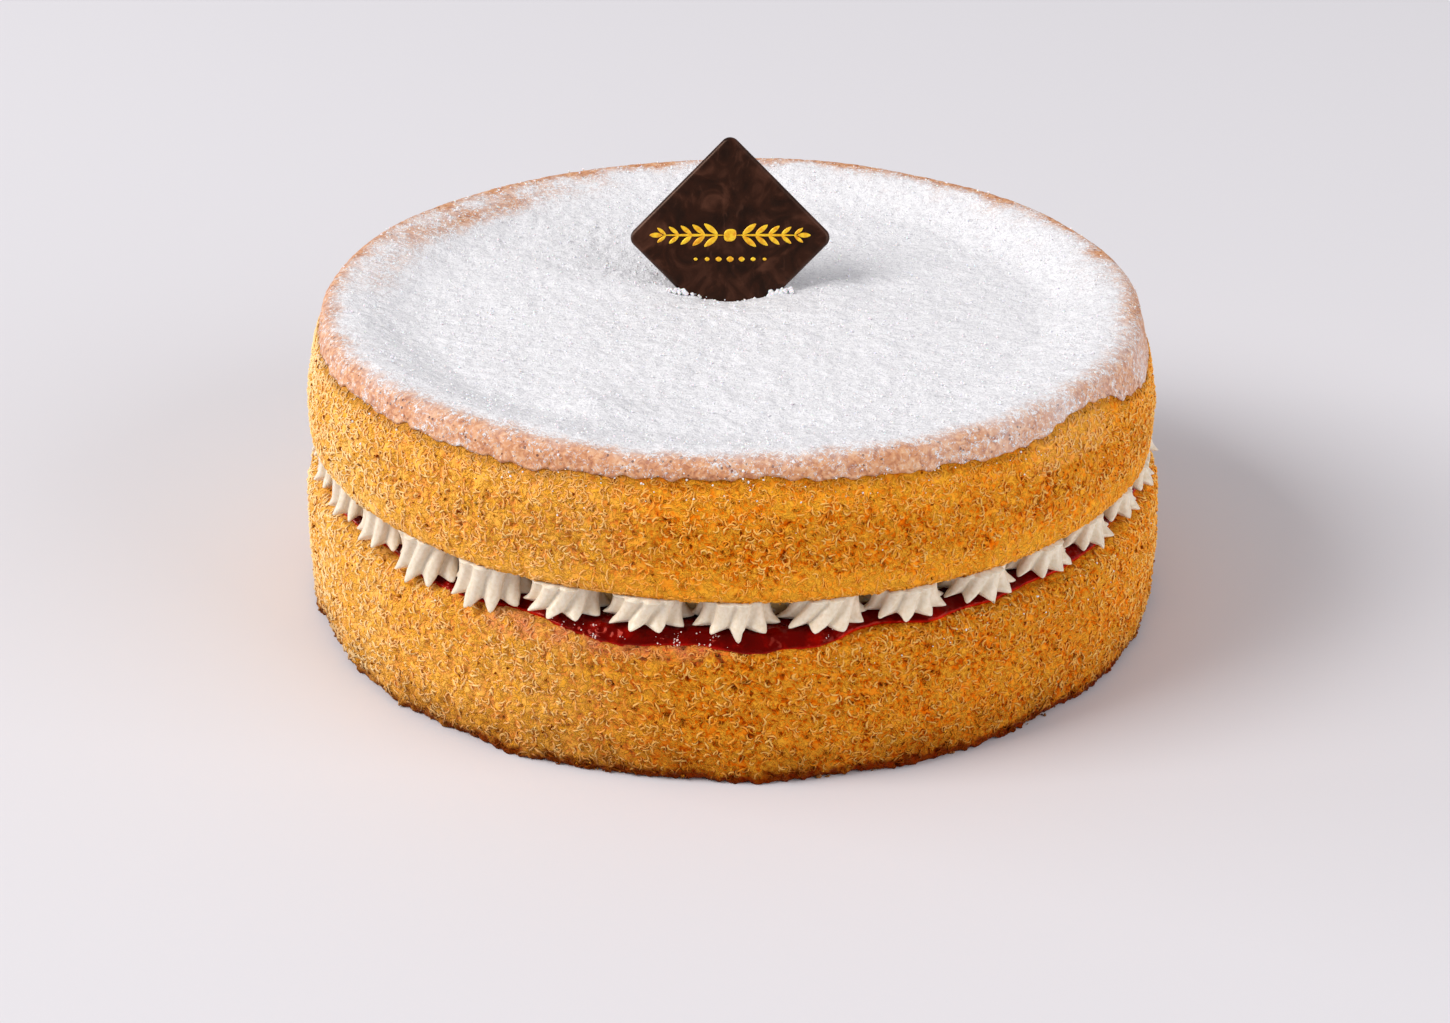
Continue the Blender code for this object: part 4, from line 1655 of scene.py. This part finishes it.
@dataclass(frozen=True)
class Plaque:
    """A square of dark chocolate from a mould, stood on one corner and leaning back."""

    form: CakeForm
    finish: DarkChocolate
    gold: FoodGold
    side: float = 34.5 * MM
    thickness: float = 3.0 * MM
    corner: float = 2.4 * MM
    rounding: float = 1.1 * MM
    lean: float = math.radians(18)
    leaf_relief: float = 0.22 * MM
    leaf_turn: float = 38
    leaf_pairs: int = 5
    leaf_size: tuple[float, float] = (4.0 * MM, 1.35 * MM)
    leaf_shrink: float = 0.09
    bud_size: tuple[float, float] = (3.4 * MM, 3.0 * MM)
    stem_size: tuple[float, float] = (15.0 * MM, 0.62 * MM)
    tip_size: tuple[float, float] = (3.0 * MM, 1.2 * MM)
    lozenge_step: float = 2.7 * MM

    def place(self, obj: Piece) -> None:
        """Lean a piece back and move it from the origin to the plaque's place."""
        deselect_all()
        obj.data.transform(Matrix.Translation(self.form.plaque_centre) @ Matrix.Rotation(-self.lean, 4, "X"))
        obj.data.update()

    def build(self) -> list[Piece]:
        """Model the chocolate square and its gold ornament."""
        deselect_all()
        bpy.ops.mesh.primitive_cube_add(size=1)
        plaque = bpy.context.object
        plaque.name = plaque.data.name = "dark_chocolate_plaque"
        plaque.scale = (self.side, self.thickness, self.side)
        bpy.ops.object.transform_apply(location=False, rotation=False, scale=True)
        bpy.ops.object.mode_set(mode="EDIT")
        half = self.thickness / 2
        select_edges(plaque, lambda a, b: abs(a.y - b.y) > half)
        bpy.ops.mesh.bevel(offset=self.corner, segments=8, affect="EDGES")
        select_edges(plaque, lambda a, b: abs(a.y - b.y) < 1e-6)
        bpy.ops.mesh.bevel(offset=self.rounding, segments=6, affect="EDGES", profile=0.5)
        bpy.ops.object.mode_set(mode="OBJECT")
        plaque.data.transform(Matrix.Rotation(math.pi / 4, 4, "Y"))
        dress(plaque, self.finish.make())
        self.place(plaque)
        ornament = self.ornament()
        return [keep_piece(plaque, ["plaque"]), keep_piece(ornament)]

    def leaf(self, x: float, z: float, length: float, width: float, turn: float) -> Piece:
        """One raised, pointed leaf of gold on the plaque's face.

        Args:
            x: place of the leaf's middle across the face.
            z: place of its middle up the face.
            length: from tip to tip.
            width: across its middle.
            turn: angle of its length from level, in degrees.

        Returns:
            The leaf.
        """
        deselect_all()
        bpy.ops.mesh.primitive_uv_sphere_add(segments=24, ring_count=12, radius=1)
        leaf = bpy.context.object
        points = points_of(leaf)[:, [2, 0, 1]]
        points[:, 2] *= 1 - 0.35 * np.abs(points[:, 0]) ** 2
        set_points(leaf, points * (length / 2, self.leaf_relief, width / 2))
        leaf.data.transform(
            Matrix.Translation((x, -self.thickness / 2, z)) @ Matrix.Rotation(-math.radians(turn), 4, "Y")
        )
        return leaf

    def ornament(self) -> Piece:
        """A level sprig of paired leaves over a row of small lozenges, alike to left and right."""
        z = 0.6 * MM
        leaves = [self.leaf(0, z, *self.bud_size, 45)]
        for side in (-1, 1):
            for step in range(self.leaf_pairs):
                along = (3.4 + 2.9 * step) * MM
                size = 1 - self.leaf_shrink * step
                for up in (-1, 1):
                    turn = side * up * self.leaf_turn
                    at = (side * (along + 1.1 * MM), z + up * 1.45 * MM * size)
                    leaves.append(self.leaf(*at, self.leaf_size[0] * size, self.leaf_size[1] * size, turn))
            leaves.append(self.leaf(side * 8.6 * MM, z, *self.stem_size, 0))
            leaves.append(self.leaf(side * 17.4 * MM, z, *self.tip_size, 0))
        for step in range(-3, 4):
            size = 1.7 - 0.25 * abs(step)
            leaves.append(self.leaf(step * self.lozenge_step, -5.0 * MM, size * MM, 0.8 * size * MM, 0))
        deselect_all()
        for leaf in leaves:
            leaf.select_set(True)
        bpy.context.view_layer.objects.active = leaves[0]
        bpy.ops.object.join()
        sprig = bpy.context.object
        sprig.name = sprig.data.name = "gold_leaf_sprig"
        dress(sprig, self.gold.make())
        self.place(sprig)
        return sprig


# ----------------------------------------------------------------------------------------------------------
# Loose things


@dataclass(frozen=True)
class Scatter:
    """Small lumps of one kind, joined in one mesh."""

    name: str
    finish: Finish
    slot: Slot
    detail: int
    roughness: float
    seed: int

    def template(self) -> tuple[Array, Array]:
        """The points and triangles of one round lump of radius 1."""
        deselect_all()
        bpy.ops.mesh.primitive_ico_sphere_add(subdivisions=self.detail, radius=1)
        ball = bpy.context.object
        points = points_of(ball)
        faces = np.array([tuple(face.vertices) for face in ball.data.polygons])
        bpy.data.objects.remove(ball)
        return points, faces

    def build(self, places: Array, sizes: Array, flatness: float = 0.8) -> Piece:
        """Set a lump of each size at each place, every one turned and shaped a little differently.

        Args:
            places: one row of three for each lump.
            sizes: radius of each lump, in metres.
            flatness: shortest side of a lump as a share of its longest.

        Returns:
            The joined piece.
        """
        chance = np.random.default_rng(self.seed)
        ball, faces = self.template()
        count = len(places)
        turns = chance.normal(size=(count, 4))
        turns /= np.linalg.norm(turns, axis=1)[:, None]
        w, x, y, z = turns.T
        rows = (
            (1 - 2 * (y * y + z * z), 2 * (x * y - z * w), 2 * (x * z + y * w)),
            (2 * (x * y + z * w), 1 - 2 * (x * x + z * z), 2 * (y * z - x * w)),
            (2 * (x * z - y * w), 2 * (y * z + x * w), 1 - 2 * (x * x + y * y)),
        )
        spin = np.stack([np.stack(row, axis=1) for row in rows], axis=1)
        squash = chance.uniform(flatness, 1, size=(count, 3))
        swell = 1 + self.roughness * chance.normal(size=(count, len(ball), 1))
        lumps = ball[None] * squash[:, None] * np.clip(swell, 0.5, 1.5)
        lumps = np.einsum("nij,nvj->nvi", spin, lumps) * sizes[:, None, None] + places[:, None]
        lumps[..., 2] = np.maximum(lumps[..., 2], 0.01 * MM * (1 + ball[:, 2]))
        every = (faces[None] + len(ball) * np.arange(count)[:, None, None]).reshape(-1, 3)
        joined = joined_mesh(self.name, lumps.reshape(-1, 3), every)
        dress(joined, self.finish.make())
        return keep_piece(joined)


def picks(obj: Piece, count: int, weight: Callable[[Array], Array], seed: int, spread: float) -> Array:
    """Places on a piece's surface, chosen by a weight.

    Args:
        obj: the piece to scatter on.
        count: how many places.
        weight: takes the piece's vertices and says how likely each is.
        seed: tells apart one choice from another.
        spread: how far a place strays from its vertex, in metres.

    Returns:
        One row of three for each place.
    """
    chance = np.random.default_rng(seed)
    points = points_of(obj)
    likely = np.clip(weight(points), 0, None)
    chosen = chance.choice(len(points), size=count, p=likely / likely.sum())
    stray = chance.normal(size=(count, 3)) * spread
    return points[chosen] + stray


def sizes(count: int, small: float, large: float, seed: int) -> Array:
    """Radii between two sizes, most of them small."""
    chance = np.random.default_rng(seed)
    return small + (large - small) * chance.random(count) ** 3


@dataclass(frozen=True)
class LooseThings:
    """Sugar lumps and crumbs that lie on the finished cake."""

    form: CakeForm
    sugar: IcingSugar
    crumb: SpongeCrumb
    grain_count: int = 7000
    grain_sizes: tuple[float, float] = (0.14 * MM, 0.42 * MM)
    fleck_counts: tuple[int, int] = (620, 90)
    fleck_sizes: tuple[float, float] = (0.12 * MM, 0.36 * MM)
    crumb_counts: tuple[int, int] = (900, 1100)
    crumb_sizes: tuple[float, float] = (0.18 * MM, 0.55 * MM)
    glint_count: int = 120
    glint_sizes: tuple[float, float] = (0.12 * MM, 0.27 * MM)
    glint_places: Sequence[tuple[float, float, float]] = (
        (-25, 5, 1.0),
        (-16, 3, 1.4),
        (-8, 2, 0.8),
        (-3, 2, 0.5),
        (13, 2, 0.6),
        (21, 4, 0.8),
        (150, 40, 0.3),
    )
    foot_count: int = 420
    foot_sizes: tuple[float, float] = (0.2 * MM, 0.75 * MM)
    bit_counts: Sequence[tuple[int, int]] = ((-1, 26), (1, 44))
    bit_reach: float = 13.0 * MM

    def on_top(self, top: Piece) -> Piece:
        """Sugar grains over the hollow, fewer on the rim."""

        def weight(points: Array) -> Array:
            """Grains lie where the top is sugared."""
            radius = np.hypot(points[:, 0] - self.form.upper_shift, points[:, 1])
            return np.where(points[:, 2] > 64 * MM, 1.0 - 0.8 * smooth_step(radius, 86 * MM, 93 * MM), 0.0)

        places = picks(top, self.grain_count, weight, 81, 0.25 * MM)
        places[:, 2] += 0.02 * MM
        grains = Scatter("icing_sugar_grains", self.sugar, Slot.CRUMB, 1, 0.10, 82)
        return grains.build(places, sizes(self.grain_count, *self.grain_sizes, 83))

    def on_walls(self, upper: Piece, lower: Piece) -> Piece:
        """Sugar flecks caught on the walls, thickest just under the crust."""

        def high(points: Array) -> Array:
            """Flecks thin out down the upper wall."""
            outer = np.hypot(points[:, 0] - self.form.upper_shift, points[:, 1]) > 90 * MM
            return outer * np.exp((points[:, 2] - 70 * MM) / (5 * MM)) * (points[:, 2] > 46 * MM)

        def low(points: Array) -> Array:
            """A few flecks lie on the lower sponge's upper edge, more of them at the right."""
            side = 0.2 + around(turn_of(points), 35, 30)
            return side * np.exp(-(((points[:, 2] - 29 * MM) / (3 * MM)) ** 2)) * (points[:, 2] < 32 * MM)

        each = zip((upper, lower), self.fleck_counts, (high, low), (84, 85))
        places = np.concatenate([picks(wall, *facts, 0.1 * MM) for wall, *facts in each])
        flecks = Scatter("icing_sugar_flecks", self.sugar, Slot.CRUMB, 1, 0.12, 86)
        return flecks.build(places, sizes(len(places), *self.fleck_sizes, 87))

    def crumbs(self, upper: Piece, lower: Piece) -> Piece:
        """Crumbs clinging to the walls."""

        def on_wall(points: Array) -> Array:
            """Anywhere on the outside of a wall."""
            outer = np.hypot(points[:, 0], points[:, 1]) > 94 * MM
            return outer * (points[:, 2] > 1.5 * MM) * 1.0

        each = zip((upper, lower), self.crumb_counts, (88, 89))
        places = np.concatenate([picks(wall, count, on_wall, seed, 0.15 * MM) for wall, count, seed in each])
        crumbs = Scatter("sponge_crumbs", self.crumb, Slot.CRUMB, 2, 0.16, 90)
        return crumbs.build(places, sizes(len(places), *self.crumb_sizes, 91), 0.55)

    def on_jam(self, jam: Piece) -> Piece:
        """Tiny pale beads in clusters along the jam's wet edge: painted glints of light."""

        def weight(points: Array) -> Array:
            """The painted glints gather on the outer swell of the jam, most of them left of the front."""
            angle = turn_of(points)
            outer = np.hypot(points[:, 0], points[:, 1]) > self.form.radius - 3.6 * MM
            near = sum(share * around(angle, middle, wide) for middle, wide, share in self.glint_places)
            clumps = np.clip(Noise(2.2 * MM, 98).lumps(points) - 0.1, 0, 1)
            return outer * near * clumps * (points[:, 2] > self.form.jam_top - 2.4 * MM)

        # The pale beads below are painted glints of light on the jam.
        places = picks(jam, self.glint_count, weight, 99, 0.06 * MM)
        glint_beads = Scatter("jam_painted_glints", JamGlintBead(), Slot.JAM, 2, 0.10, 97)
        return glint_beads.build(places, sizes(self.glint_count, *self.glint_sizes, 98), 0.5)

    def at_foot(self) -> Piece:
        """Browned crumbs that lie against the cake's foot."""
        chance = np.random.default_rng(92)
        count = self.foot_count
        angle = chance.uniform(-math.pi, math.pi, count)
        radius = self.form.radius - 1.9 * MM + 1.2 * MM * chance.random(count) ** 1.5
        radius += wave(angle, self.form.lower_waves)
        size = sizes(count, *self.foot_sizes, 93)
        places = placed_round(radius, angle, 0.7 * size)
        crumbs = Scatter("browned_crumbs", BrownedCrumb(), Slot.CRUMB, 2, 0.18, 94)
        return crumbs.build(places, size, 0.55)

    def round_plaque(self) -> Piece:
        """Broken bits of sugar crust pushed up where the plaque went in."""
        chance = np.random.default_rng(95)
        places, radii = [], []
        middle = self.form.plaque_centre
        for side, count in self.bit_counts:
            for _ in range(count):
                along = side * self.bit_reach * chance.uniform(0.68, 1.12)
                x = middle.x + along
                y = middle.y - 4.6 * MM - chance.uniform(0.0, 1.6) * MM
                z = float(self.form.top(np.array([x]), np.array([y]))[0])
                places.append((x, y, z + chance.uniform(0.0, 1.0) * MM))
                radii.append(chance.uniform(0.3, 0.85) * MM)
        bits = Scatter("sugar_crust_bits", self.sugar, Slot.CRUMB, 2, 0.14, 96)
        return bits.build(np.array(places), np.array(radii), 0.45)


# ----------------------------------------------------------------------------------------------------------
# The studio


@dataclass(frozen=True)
class Softbox:
    """A square soft light aimed at the cake: where it stands, its power in watts, side and colour."""

    name: str
    place: tuple[float, float, float]
    power: float
    size: float
    tint: str = "#FFFFFF"
    aim: ClassVar[Vector] = Vector((0, 0, 0.04))

    def build(self) -> None:
        """Add the light."""
        deselect_all()
        bpy.ops.object.light_add(type="AREA", location=self.place)
        light = bpy.context.object
        light.name = self.name
        light.data.energy = self.power
        light.data.size = self.size
        light.data.color = linear(self.tint)[:3]
        toward = self.aim - Vector(self.place)
        light.rotation_euler = toward.to_track_quat("-Z", "Y").to_euler()


@dataclass(frozen=True)
class Studio:
    """Pale paper, a big soft light at the left with a low one behind it, and a weak fill from the rest."""

    paper: StudioPaper
    floor_side: float = 8.0
    sky: str = "#F4F3F6"
    sky_strength: float = 0.43
    lights: Sequence[Softbox] = (
        Softbox("key_softbox", (-2.80, -0.88, 2.64), 114.0, 1.9, "#FFFDFA"),
        Softbox("rim_softbox", (-2.9, 0.6, 0.75), 30.0, 1.4),
        Softbox("fill_softbox", (2.5, -1.4, 1.1), 47.0, 2.4),
    )
    aim: tuple[float, float, float] = (-0.0021, 0.0, 0.0148)
    elevation: float = math.radians(26.2)
    distance: float = 0.674
    lens: float = 69.5
    sensor_width: float = 36.0

    def floor(self) -> None:
        """The paper that the cake stands on."""
        deselect_all()
        bpy.ops.mesh.primitive_plane_add(size=self.floor_side)
        floor = bpy.context.object
        floor.name = "studio_floor"
        dress(floor, self.paper.make(), smooth=False)

    def camera(self) -> Piece:
        """The camera, looking down at the cake's front."""
        deselect_all()
        away = Vector((0, -math.cos(self.elevation), math.sin(self.elevation))) * self.distance
        bpy.ops.object.camera_add(location=Vector(self.aim) + away)
        camera = bpy.context.object
        camera.name = "studio_camera"
        camera.data.lens = self.lens
        camera.data.sensor_width = self.sensor_width
        camera.rotation_euler = (-away).to_track_quat("-Z", "Y").to_euler()
        return camera

    def build(self) -> None:
        """Set up the floor, lights and camera."""
        scene = bpy.context.scene
        scene.view_settings.view_transform = "Standard"
        world = bpy.data.worlds.new("soft_room")
        world.use_nodes = True
        background = world.node_tree.nodes["Background"]
        background.inputs["Color"].default_value = linear(self.sky)
        background.inputs["Strength"].default_value = self.sky_strength
        scene.world = world
        self.floor()
        for light in self.lights:
            light.build()
        scene.camera = self.camera()


def main() -> None:
    """Build every part of the cake, then the studio round it."""
    logging.basicConfig(level=logging.INFO, format="%(message)s")
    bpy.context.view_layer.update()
    form = CakeForm.from_frame()
    crumb, sugar, cream = SpongeCrumb(), IcingSugar(), WhippedCream()
    lower_wall = LowerSponge(
        form, crumb, name="lower_sponge_crumb", node="lower_sponge", ends=(0.0, form.lower_height)
    )
    upper_wall = UpperSponge(
        form,
        crumb,
        name="upper_sponge_crumb",
        node="upper_sponge",
        relief=CrumbRelief(seed=43),
        shift=form.upper_shift,
        ends=(form.underside_height, 52 * MM),
        strand_shares=(0.18, 0.91),
    )
    lower = lower_wall.build()
    lower_wall.strands(31)
    jam = JamLayer(form, RedJam()).build()
    # The bed's cream is painted tan: shade and warm bounce light between the sponges, seen through the gaps
    # between the stars.
    shaded_bed_cream = WhippedCream(name="whipped_cream_bed_painted_shade", tones=((0.25, "#D0B076"), (0.6, "#E6CC98")))
    CreamBed(form, shaded_bed_cream).build()
    PipedStars(form, cream).build()
    upper = upper_wall.build()
    upper_wall.strands(32)
    top = SugaredTop(form, SugaredCrust()).build()
    Plaque(form, DarkChocolate(), FoodGold()).build()
    loose = LooseThings(form, sugar, crumb)
    loose.on_top(top)
    loose.on_walls(upper, lower)
    loose.crumbs(upper, lower)
    loose.on_jam(jam)
    loose.at_foot()
    loose.round_plaque()
    Studio(StudioPaper()).build()


if __name__ == "__main__":
    main()
